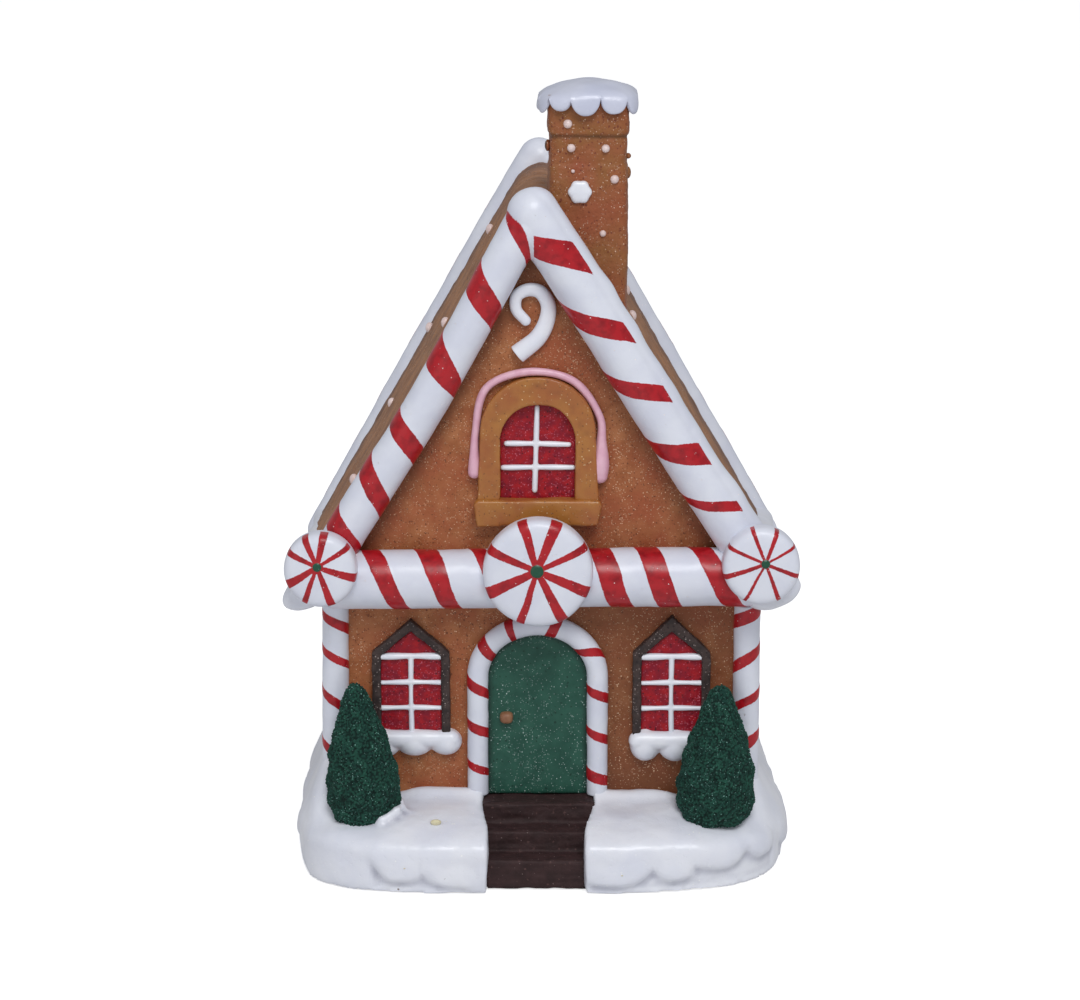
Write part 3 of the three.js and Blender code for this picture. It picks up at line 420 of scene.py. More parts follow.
def roughened(skin: Surface, *layers: Pair, seed: int = 1) -> Surface:
    """Give a skin layers of soft unevenness.

    Args:
        skin: The skin.
        layers: Height and width of the lumps of each layer.
        seed: Picks the pattern.

    Returns:
        The uneven skin.
    """
    height = sum(tall * lumps(skin.points, wide, seed + index) for index, (tall, wide) in enumerate(layers))
    return skin.lifted(height)


def slab(outline: Array | Sequence, depth: float, voxel: float, smooth: int, *layers: Pair,
         seed: int) -> Surface:
    """Cut a flat piece of dough, soften its edges and roughen it.

    Args:
        outline: Its corners in X and Z.
        depth: How far it stands out of its wall.
        voxel: Spacing of its points.
        smooth: How often its skin is evened out.
        layers: Height and width of the lumps of each layer.
        seed: Picks the lumps.

    Returns:
        The piece, in the frame of its wall.
    """
    return roughened(fused([prism(outline, SUNK, -GAP - depth)], voxel, smooth), *layers, seed=seed)


# ---------------- rolls


@dataclass
class Path:
    """A line through closely spaced points."""

    points: Array

    @classmethod
    def smooth(cls, corners: Sequence[Sequence[float]], pieces: int = 24) -> Path:
        """Run a centripetal spline through the corners.

        Args:
            corners: Points that the line passes through.
            pieces: Points between two corners.

        Returns:
            The line.
        """
        corner = np.asarray(corners, float)
        padded = np.vstack([2 * corner[0] - corner[1], corner, 2 * corner[-1] - corner[-2]])
        gaps = np.sqrt(np.linalg.norm(np.diff(padded, axis=0), axis=1))
        t = np.linspace(0, 1, pieces, endpoint=False)[:, None]
        runs = []
        for k in range(1, len(padded) - 2):
            before, start, end, after = padded[k - 1:k + 3]
            g0, g1, g2 = gaps[k - 1:k + 2]
            leave = ((start - before) / g0 - (end - before) / (g0 + g1) + (end - start) / g1) * g1
            arrive = ((end - start) / g1 - (after - start) / (g1 + g2) + (after - end) / g2) * g1
            run = (2 * t**3 - 3 * t**2 + 1) * start + (t**3 - 2 * t**2 + t) * leave
            runs.append(run + (3 * t**2 - 2 * t**3) * end + (t**3 - t**2) * arrive)
        return cls(np.vstack([*runs, corner[-1:]]))

    @classmethod
    def on_wall(cls, corners: Sequence[Sequence[float]], out: float) -> Path:
        """Run a spline through corners in X and Z, at one distance in front of a wall."""
        return cls.smooth([(x, -out, z) for x, z in corners])

    def marks(self) -> Array:
        """Distances along the line at its points."""
        return np.concatenate([[0.0], np.cumsum(np.linalg.norm(np.diff(self.points, axis=0), axis=1))])

    @property
    def length(self) -> float:
        """Length of the line."""
        return float(self.marks()[-1])

    def at(self, along: Array) -> Array:
        """Places at distances along the line."""
        marks = self.marks()
        return np.stack([np.interp(along, marks, self.points[:, axis]) for axis in range(3)], axis=-1)

    def heading(self, along: Array, reach: float = 0.8) -> Array:
        """Unit directions of the line at distances along it, evened over a short reach."""
        step = self.at(np.minimum(along + reach, self.length)) - self.at(np.maximum(along - reach, 0.0))
        return step / np.linalg.norm(step, axis=-1, keepdims=True)

    def seen_from(self, points: Array, front: Sequence[float]) -> tuple[Array, Array, Array]:
        """Find points again by their place along the line and round it.

        Args:
            points: The points.
            front: Direction of angle 0.

        Returns:
            Distances along the line, angles in degrees, and distances from the line.
        """
        marks = np.linspace(0.0, self.length, 400)
        line = self.at(marks)
        parts = np.array_split(points, 200)
        near = [np.argmin(((part[:, None] - line) ** 2).sum(axis=2), axis=1) for part in parts]
        along = marks[np.concatenate(near)]
        heading = self.heading(along)
        along = along + np.sum((points - self.at(along)) * heading, axis=1)
        away = points - self.at(along)
        left = np.cross(np.asarray(front), heading)
        degrees = np.degrees(np.arctan2(np.sum(away * left, axis=1), away @ np.asarray(front)))
        return along, degrees, np.linalg.norm(away, axis=1)


Field = Callable[[Array, Array], Array]
Radius = Callable[[Array], Array]  # by the share of the way along


def even(radius: float) -> Radius:
    """One radius all along a roll."""
    return lambda share: radius + 0 * share


def wrapped(along: Array, degrees: Array, radius: float) -> Array:
    """Points on a straight roll, in which noise finds no seam."""
    turn = np.radians(degrees)
    return xyz(along, radius * np.cos(turn), radius * np.sin(turn))


@dataclass(frozen=True)
class Roll:
    """A rope of dough rolled by hand.

    The angle round it is 0 where it faces front, and 90 to the left of its path when seen from there.
    """

    path: Path
    radius: Radius
    front: Triple = (0.0, -1.0, 0.0)
    flat: float = 1.0
    domes: tuple[bool, bool] = (True, True)
    seam: float = 180.0
    step: float = 0.62
    cut_rounding: float = 0.16

    def _end(self, radius: float, domed: bool) -> tuple[Array, Array]:
        """Rings of a round or cut end, from its middle outwards: share of the radius, and place past it."""
        if domed:
            turn = np.radians(np.linspace(6, 84, max(6, round(radius * 1.5 / self.step))))
            return np.sin(turn), radius * np.cos(turn)
        turn = np.radians(np.linspace(0, 80, 5))
        edge = self.cut_rounding
        inner = np.linspace(0.15, 1 - edge - 0.02, max(3, round(radius / self.step)))
        shares = np.concatenate([inner, 1 - edge + edge * np.sin(turn)])
        past = np.concatenate([0 * inner, -edge * radius * (1 - np.cos(turn))])
        return shares, past

    def skin(self, relief: Field | None = None, values: dict[str, Field] | None = None) -> Surface:
        """Build the roll.

        Args:
            relief: Height over the plain roll, by distance along it and angle in degrees.
            values: Values on the points, by the same two.

        Returns:
            The closed roll.
        """
        length = self.path.length
        first, last = (float(self.radius(np.array([end]))[0]) for end in (0.0, 1.0))
        first_share, first_past = self._end(first, self.domes[0])
        last_share, last_past = self._end(last, self.domes[1])
        start, end = (0.0 if domed else self.cut_rounding * size
                      for domed, size in zip(self.domes, (first, last)))
        middle = np.linspace(start, length - end, len(np.arange(start, length - end, self.step)) + 1)
        along = np.concatenate([-first_past, middle, length + last_past[::-1]])
        share = np.concatenate([first_share, np.ones(len(middle)), last_share[::-1]])
        columns = math.ceil(2 * math.pi * max(first, last) / self.step)
        degrees = self.seam - 360 + 360 * np.arange(columns) / columns
        on_path = np.clip(along, 0.0, length)
        heading = self.path.heading(on_path)
        left = np.cross(np.asarray(self.front), heading)
        size = self.radius(on_path / length)[:, None] + 0 * degrees[None, :]
        grid_along, grid_degrees = np.meshgrid(along, degrees, indexing="ij")
        if relief is not None:
            size = size + relief(grid_along, grid_degrees)
        size = size * share[:, None]
        turn = np.radians(degrees)[None, :, None]
        spread = np.cos(turn) * np.asarray(self.front) * self.flat + np.sin(turn) * left[:, None, :]
        middle_line = self.path.at(on_path) + heading * (along - on_path)[:, None]
        rings = middle_line[:, None, :] + spread * size[:, :, None]
        found = {name: value(grid_along, grid_degrees) for name, value in (values or {}).items()}
        return shell(rings, found)


@dataclass(frozen=True)
class Stripes:
    """Red stripes painted round a roll.

    Each stripe is where its low and its high edge cross the line at angle `left`, and then the line at
    angle `right`, as distances along the roll. No paint lies outside the two angles of `within`, and
    `spread` is how far the paint runs past its edges.
    """

    edges: tuple[Quad, ...]
    left: float = 90.0
    right: float = -90.0
    within: Pair = (-999.0, 999.0)
    wander: float = 0.22
    spread: float = 0.0

    def mirrored(self) -> Stripes:
        """Give the same paint for a roll on the other slope."""
        low, high = self.within
        return replace(self, left=-self.left, right=-self.right, within=(-high, -low))

    def depth(self, along: Array, degrees: Array, radius: float, seed: int) -> Array:
        """Measure how far points lie inside the paint.

        Args:
            along: Distances along the roll.
            degrees: Angles round it.
            radius: Radius of the roll.
            seed: Picks how the hand wandered.

        Returns:
            Millimetres inside the nearest stripe, negative outside.
        """
        places = wrapped(along, degrees, radius)
        waver = self.wander * (lumps(places, 4.0, seed) + 0.4 * lumps(places, 1.4, seed + 1))
        share = (degrees - self.right) / (self.left - self.right)
        arc = radius * math.radians(self.left - self.right)
        deepest = np.full(along.shape, UNPAINTED)
        for left_low, left_high, right_low, right_high in self.edges:
            low, high = mix(right_low, left_low, share), mix(right_high, left_high, share)
            slant = 1 / math.hypot(1, (left_low + left_high - right_low - right_high) / 2 / arc)
            deepest = np.maximum(deepest, np.minimum(along + waver - low, high - along - waver) * slant)
        lowest, highest = self.within
        ends = np.radians(np.minimum(highest - degrees, degrees - lowest)) * radius
        return np.minimum(deepest + self.spread, ends + 0.5 * waver)


# ---------------- shader effects


def linear(colour: Colour) -> Triple:
    """Turn a painter's colour into linear light."""
    shares = [value / 255 for value in colour]
    return tuple(s / 12.92 if s <= 0.04045 else ((s + 0.055) / 1.055) ** 2.4 for s in shares)


class Wiring:
    """Short ways to add and join the nodes of one tree."""

    def __init__(self, tree: bpy.types.NodeTree) -> None:
        """Start in an empty tree."""
        self.tree = tree

    def node(self, kind: str, inputs: dict | None = None, **settings: object) -> bpy.types.Node:
        """Add a node.

        Args:
            kind: Its type.
            inputs: Sockets or plain values for its inputs, by name or place.
            settings: Its own options.

        Returns:
            The node.
        """
        made = self.tree.nodes.new(kind)
        for name, value in settings.items():
            setattr(made, name, value)
        for name, value in (inputs or {}).items():
            if isinstance(value, bpy.types.NodeSocket):
                self.tree.links.new(value, made.inputs[name])
            elif made.inputs[name].type == "RGBA":
                made.inputs[name].default_value = (*value, 1.0)
            else:
                made.inputs[name].default_value = value
        return made

    def math(self, operation: str, first: object, second: object = 0.0) -> Socket:
        """Work out one sum."""
        return self.node("ShaderNodeMath", {0: first, 1: second}, operation=operation).outputs[0]

    def vector(self, operation: str, first: object, second: object) -> Socket:
        """Work out one sum of vectors, or scale the first."""
        slot = "Scale" if operation == "SCALE" else 1
        return self.node("ShaderNodeVectorMath", {0: first, slot: second}, operation=operation).outputs[0]

    def mix(self, share: Socket, first: Socket | Colour, second: Socket | Colour) -> Socket:
        """Mix two colours."""
        first, second = (linear(value) if isinstance(value, tuple) else value for value in (first, second))
        return self.node("ShaderNodeMix", {0: share, 6: first, 7: second}, data_type="RGBA").outputs[2]

    def ramp(self, value: object, low: float, high: float, start: float = 0.0, end: float = 1.0) -> Socket:
        """Take a value's range to another one, clamped."""
        inputs = {"Value": value, "From Min": low, "From Max": high, "To Min": start, "To Max": end}
        return self.node("ShaderNodeMapRange", inputs).outputs[0]

    def noise(self, place: object, scale: object, detail: float, output: str = "Fac") -> Socket:
        """Cloudy noise around 0.5."""
        inputs = {"Vector": place, "Scale": scale, "Detail": detail}
        return self.node("ShaderNodeTexNoise", inputs).outputs[output]

    def cells(self, place: object) -> tuple[Socket, Socket, Sequence[Socket]]:
        """Ragged cells of about one unit: distance from the middle, random colour, and its three parts."""
        cells = self.node("ShaderNodeTexVoronoi", {"Vector": place, "Scale": 1.0})
        colour = cells.outputs["Color"]
        return cells.outputs["Distance"], colour, self.node("ShaderNodeSeparateColor", {0: colour}).outputs

    def value(self, name: str) -> Socket:
        """A value stored on the points."""
        return self.node("ShaderNodeAttribute", attribute_name=name).outputs["Fac"]

    def place(self) -> Socket:
        """The place on the object, in millimetres."""
        coordinates = self.node("ShaderNodeTexCoord").outputs["Object"]
        return self.vector("SCALE", coordinates, 1 / MM)

    def effect(self, effect: Effect, **inputs: object) -> Sequence[Socket]:
        """Place a shared effect, with its inputs by name."""
        named = {name.capitalize(): value for name, value in inputs.items()}
        return self.node("ShaderNodeGroup", named, node_tree=effect.tree()).outputs


class Effect(Enum):
    """Effects that several finishes share, each one node group: its name, its inputs and its outputs."""

    MOTTLE = ("Mottle", "Place Size Balance", "Patch")
    SPECKS = ("Specks", "Place Size Share", "Mask")
    FLAKES = ("Glitter flakes", "Place Normal Size Share Tilt", "Mask Glint Normal")
    GRAIN = ("Dough grain", "Place Size", "Height")
    BRUSHED_EDGE = ("Brushed edge", "Place Depth Waver", "Mask")

    def tree(self) -> bpy.types.NodeTree:
        """Give the group, building it at its first use."""
        name, inputs, outputs = self.value
        if name in bpy.data.node_groups:
            return bpy.data.node_groups[name]
        tree = bpy.data.node_groups.new(name, "ShaderNodeTree")
        for direction, sockets in (("INPUT", inputs), ("OUTPUT", outputs)):
            for socket in sockets.split():
                kind = "Vector" if socket in ("Place", "Normal") else "Float"
                tree.interface.new_socket(socket, in_out=direction, socket_type=f"NodeSocket{kind}")
        wire = Wiring(tree)
        source, target = wire.node("NodeGroupInput"), wire.node("NodeGroupOutput")
        build = getattr(self, f"_{self.name.lower()}")
        made = build(wire, *(source.outputs[socket] for socket in inputs.split()))
        for socket, result in zip(outputs.split(), made):
            tree.links.new(result, target.inputs[socket])
        return tree

    def _mottle(self, wire: Wiring, place: Socket, size: Socket, balance: Socket) -> list[Socket]:
        """Patches of a second colour with soft, ragged edges."""
        cloud = wire.noise(place, wire.math("DIVIDE", 1.0, size), 4.0)
        shifted = wire.math("ADD", cloud, wire.math("SUBTRACT", balance, 0.5))
        return [wire.ramp(shifted, 0.36, 0.64)]

    def _specks(self, wire: Wiring, place: Socket, size: Socket, share: Socket) -> list[Socket]:
        """Small ragged specks in a share of cells."""
        bent = wire.vector("ADD", place, wire.noise(place, 1.7, 2.0, "Color"))
        distance, _, draws = wire.cells(wire.vector("SCALE", bent, wire.math("DIVIDE", 0.55, size)))
        picked = wire.math("LESS_THAN", draws[0], share)
        reach = wire.ramp(draws[1], 0.0, 1.0, 0.22, 0.5)
        near = wire.ramp(wire.math("SUBTRACT", reach, distance), 0.0, 0.12)
        return [wire.math("MULTIPLY", picked, near)]

    def _flakes(
        self, wire: Wiring, place: Socket, normal: Socket, size: Socket, share: Socket, tilt: Socket
    ) -> list[Socket]:
        """Glitter: tiny tilted flakes in a share of cells, gathered in clouds; their glint is partly the
        flakes' own light tint and partly a painted glint, bright on a few at random.
        """
        distance, colour, draws = wire.cells(wire.vector("SCALE", place, wire.math("DIVIDE", 1.0, size)))
        gathered = wire.ramp(wire.noise(place, 0.16, 2.0), 0.35, 0.65, 0.45, 1.6)
        picked = wire.math("LESS_THAN", draws[0], wire.math("MULTIPLY", share, gathered))
        mask = wire.math("MULTIPLY", picked, wire.ramp(distance, 0.5, 0.4))
        brightness = wire.math("POWER", draws[1], 2.2)
        glint = wire.math("MULTIPLY", mask, wire.ramp(brightness, 0.0, 1.0, 0.12, 1.0))
        tilted = wire.vector("SCALE", wire.vector("SUBTRACT", colour, (0.5, 0.5, 0.5)),
                             wire.math("MULTIPLY", mask, tilt))
        bent = wire.vector("ADD", normal, tilted)
        return [mask, glint, wire.node("ShaderNodeVectorMath", {0: bent}, operation="NORMALIZE").outputs[0]]

    def _grain(self, wire: Wiring, place: Socket, size: Socket) -> list[Socket]:
        """Height of a dough-like grain with small pores."""
        scale = wire.math("DIVIDE", 1.0, size)
        pores = wire.noise(place, wire.math("MULTIPLY", scale, 2.3), 1.0)
        return [wire.math("SUBTRACT", wire.noise(place, scale, 5.0), wire.ramp(pores, 0.62, 0.75, 0.0, 0.35))]

    def _brushed_edge(self, wire: Wiring, place: Socket, depth: Socket, waver: Socket) -> list[Socket]:
        """Coverage of a painted shape, from the distance inside its edge."""
        ragged = wire.math("SUBTRACT", wire.noise(place, 1.3, 3.0), 0.5)
        return [wire.ramp(wire.math("ADD", depth, wire.math("MULTIPLY", ragged, waver)), -0.07, 0.07)]


class Slot(Enum):
    """Material slots of the record."""

    GINGERBREAD = "gingerbread"
    BISCUIT = "biscuit"
    ICING = "icing"
    SNOW = "snow"
    CANDY = "candy"
    RED_GLITTER = "red_glitter"
    GREEN_GLITTER = "green_glitter"
    FOLIAGE = "foliage"
    CHOCOLATE = "chocolate"
    PINK_ICING = "pink_icing"


@dataclass(frozen=True)
class Finish:
    """A patchy colour with specks, glitter flakes, painted shade in hollows and shaded parts, and a grain."""

    name: str
    slot: Slot
    colour: Colour
    patches: Colour
    patch_size: float
    roughness: float
    grain: Pair  # size and height
    coat: Pair = (0.0, 0.1)  # weight and roughness
    specks: tuple[Colour, float, float] | None = None  # colour, size, and share of the cells
    flakes: tuple[Colour, float, float, float] | None = None  # colour, size, share of the cells, and tilt
    # colour of the painted shade that pieces lay into their hollows, recesses and shaded parts
    hollow: Colour | None = None
    blush: tuple[Colour, float] | None = None  # colour and size of its clouds
    shine: float = 0.5

    def painted(self, wire: Wiring, place: Socket, colour: Socket) -> Socket:
        """Paint over the patchy ground; plain finishes leave it as it is."""
        return colour

    def material(self) -> bpy.types.Material:
        """Give the finish's material, mixing it at its first use."""
        if self.name in bpy.data.materials:
            return bpy.data.materials[self.name]
        made = bpy.data.materials.new(self.name)
        made.use_nodes = True
        made.node_tree.nodes.clear()
        wire = Wiring(made.node_tree)
        place = wire.place()
        patch = wire.effect(Effect.MOTTLE, place=place, size=self.patch_size, balance=0.5)[0]
        colour = wire.mix(patch, self.colour, self.patches)
        if self.blush:
            blush, size = self.blush
            clouds = wire.effect(Effect.MOTTLE, place=place, size=size, balance=0.45)[0]
            colour = wire.mix(clouds, colour, blush)
        if self.specks:
            speck, size, share = self.specks
            specks = wire.effect(Effect.SPECKS, place=place, size=size, share=share)[0]
            colour = wire.mix(specks, colour, speck)
        # painted shade, mixed in where a piece marks it
        if self.hollow:
            colour = wire.mix(wire.value("hollow"), colour, self.hollow)
        colour = self.painted(wire, place, colour)
        normal = wire.node("ShaderNodeNewGeometry").outputs["Normal"]
        if self.flakes:
            flake, size, share, tilt = self.flakes
            _, glint, normal = wire.effect(
                Effect.FLAKES, place=place, normal=normal, size=size, share=share, tilt=tilt)
            # glitter flakes: their own lighter tint, plus a painted glint that brightens a few at random
            colour = wire.mix(glint, colour, flake)
        size, height = self.grain
        grain = wire.effect(Effect.GRAIN, place=place, size=size)[0]
        bump = wire.node("ShaderNodeBump", {"Distance": height * MM, "Height": grain, "Normal": normal})
        shader = wire.node("ShaderNodeBsdfPrincipled", {
            "Base Color": colour, "Roughness": self.roughness, "Coat Weight": self.coat[0],
            "Coat Roughness": self.coat[1], "Specular IOR Level": self.shine, "Normal": bump.outputs[0]})
        wire.node("ShaderNodeOutputMaterial", {"Surface": shader.outputs[0]})
        return made


@dataclass(frozen=True)
class CandyFinish(Finish):
    """White dough with painted red stripes or spokes, and a green dot on mints."""

    red: Colour = (178, 20, 32)
    deep_red: Colour = (140, 8, 22)
    green: Colour = (22, 78, 56)

    def painted(self, wire: Wiring, place: Socket, colour: Socket) -> Socket:
        """Lay the stripes and the dot over the white."""
        streaks = wire.effect(Effect.MOTTLE, place=place, size=2.6, balance=0.42)[0]
        red = wire.mix(streaks, self.red, self.deep_red)
        for name, paint, waver in (("stripe", red, 0.35), ("dot", self.green, 0.3)):
            edge = wire.effect(Effect.BRUSHED_EDGE, place=place, depth=wire.value(name), waver=waver)[0]
            colour = wire.mix(edge, colour, paint)
        return colour


class Look(Enum):
    """The finishes of the house."""

    GINGERBREAD = Finish(
        "Gingerbread", Slot.GINGERBREAD, (178, 115, 73), (155, 92, 52), 4.5, 0.5, (1.0, 0.2),
        specks=((108, 60, 34), 0.36, 0.3), flakes=((240, 204, 168), 0.38, 0.17, 0.7), hollow=(104, 58, 32),
        blush=((160, 86, 52), 11.0), shine=0.35)
    ROOF = Finish(
        "Roof biscuit", Slot.GINGERBREAD, (172, 118, 74), (142, 94, 58), 8.0, 0.55, (1.3, 0.25),
        specks=((96, 66, 44), 0.6, 0.15), flakes=((235, 212, 185), 0.5, 0.03, 0.9), hollow=(92, 60, 40),
        shine=0.35)
    CHIMNEY = Finish(
        "Chimney biscuit", Slot.GINGERBREAD, (152, 90, 54), (142, 94, 48), 5.0, 0.5, (1.0, 0.22),
        specks=((116, 56, 36), 0.45, 0.3), flakes=((240, 205, 180), 0.4, 0.12, 0.9), hollow=(70, 50, 30),
        blush=((150, 78, 48), 10.0), shine=0.35)
    BISCUIT = Finish(
        "Golden biscuit", Slot.BISCUIT, (172, 112, 48), (160, 92, 42), 7.0, 0.42, (1.6, 0.08), (0.2, 0.25),
        specks=((130, 78, 34), 0.4, 0.12), flakes=((242, 215, 165), 0.42, 0.05, 0.9), hollow=(90, 48, 20))
    KNOB = Finish("Biscuit knob", Slot.BISCUIT, (150, 108, 78), (134, 90, 62), 2.0, 0.5, (0.8, 0.06))
    ICING = Finish(
        "White icing", Slot.ICING, (238, 240, 247), (230, 233, 243), 6.0, 0.35, (2.5, 0.05), (0.3, 0.25),
        hollow=(196, 190, 196))
    SNOW = Finish(
        "Moulded snow", Slot.SNOW, (235, 237, 244), (225, 228, 239), 14.0, 0.38, (2.4, 0.14), (0.35, 0.24),
        specks=((120, 105, 100), 0.5, 0.0006), flakes=((255, 255, 255), 0.6, 0.012, 0.5),
        hollow=(178, 180, 194))
    # snow painted darker and greyer than the snow of the bank, as painted shade over the chimney's top
    CAP_SNOW = Finish(
        "Chimney snow", Slot.SNOW, (207, 210, 226), (197, 201, 220), 9.0, 0.36, (3.0, 0.1), (0.4, 0.22))
    CRUMB = Finish("Butter crumb", Slot.SNOW, (224, 217, 184), (210, 200, 158), 1.5, 0.5, (0.6, 0.06))
    SUGAR = Finish("Sugar pearls", Slot.GINGERBREAD, (236, 216, 212), (224, 200, 196), 2.0, 0.35, (0.8, 0.06))
    CANDY = CandyFinish(
        "Striped candy", Slot.CANDY, (226, 229, 239), (217, 220, 233), 9.0, 0.36, (2.2, 0.05), (0.3, 0.24),
        flakes=((250, 240, 240), 0.4, 0.012, 0.9), shine=0.3)
    RED_GLITTER = Finish(
        "Red glitter", Slot.RED_GLITTER, (166, 18, 30), (130, 12, 36), 2.2, 0.4, (0.6, 0.12),
        specks=((80, 6, 24), 0.4, 0.2), flakes=((225, 120, 140), 0.42, 0.2, 0.9), shine=0.3)
    GREEN_GLITTER = Finish(
        "Green glitter", Slot.GREEN_GLITTER, (31, 76, 63), (42, 89, 74), 4.5, 0.45, (0.7, 0.1),
        specks=((22, 58, 48), 0.5, 0.12), flakes=((205, 226, 220), 0.38, 0.1, 0.9), hollow=(14, 32, 27),
        shine=0.3)
    FOLIAGE = Finish(
        "Flocked foam", Slot.FOLIAGE, (40, 88, 73), (27, 66, 57), 2.4, 0.85, (0.35, 0.3),
        flakes=((150, 200, 190), 0.38, 0.1, 0.9), hollow=(16, 42, 36), shine=0.25)
    CHOCOLATE = Finish(
        "Chocolate", Slot.CHOCOLATE, (60, 40, 40), (48, 31, 31), 3.5, 0.65, (0.9, 0.2),
        specks=((84, 60, 58), 0.45, 0.1), flakes=((175, 155, 152), 0.36, 0.012, 0.9), shine=0.3)
    WINDOW_FRAME = Finish(
        "Cocoa frame", Slot.CHOCOLATE, (70, 57, 54), (50, 41, 40), 2.5, 0.5, (0.8, 0.12),
        specks=((40, 30, 30), 0.45, 0.25), flakes=((185, 170, 165), 0.4, 0.1, 0.9), shine=0.3)
    PINK = Finish(
        "Pink icing", Slot.PINK_ICING, (232, 186, 202), (224, 172, 192), 3.0, 0.4, (1.5, 0.04), (0.2, 0.25))


def publish(skin: Surface, name: str, look: Look, *nodes: str) -> None:
    """Turn a skin into a finished piece of the house.

    Args:
        skin: The piece in its final place.
        name: Its name.
        look: Its finish.
        nodes: CAD nodes that it stands for.
    """
    finish, slot = look.value, look.value.slot
    mesh = skin.mesh(name, MM)
    mesh.materials.append(finish.material())
    piece = added(name, mesh)
    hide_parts(*nodes)
    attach(piece, "root")
    LOG.info("%s: %d faces for %s", name, len(mesh.polygons), ", ".join(nodes))


class Wall(Enum):
    """Walls that carry decorations: the turn and the place of their own frame."""

    FRONT = (0.0, 0.0, FRONT_WALL_Y)
    BACK = (180.0, 0.0, BACK_WALL_Y)
    LEFT = (-90.0, -WALL_HALF_WIDTH, HOUSE_MIDDLE_Y)
    RIGHT = (90.0, WALL_HALF_WIDTH, HOUSE_MIDDLE_Y)

    def put(self, skin: Surface) -> Surface:
        """Move a skin from the wall's frame to the house's."""
        turn, x, y = self.value
        return skin.turned(turn).moved(x, y)


# ---------------- snow base, steps and trees


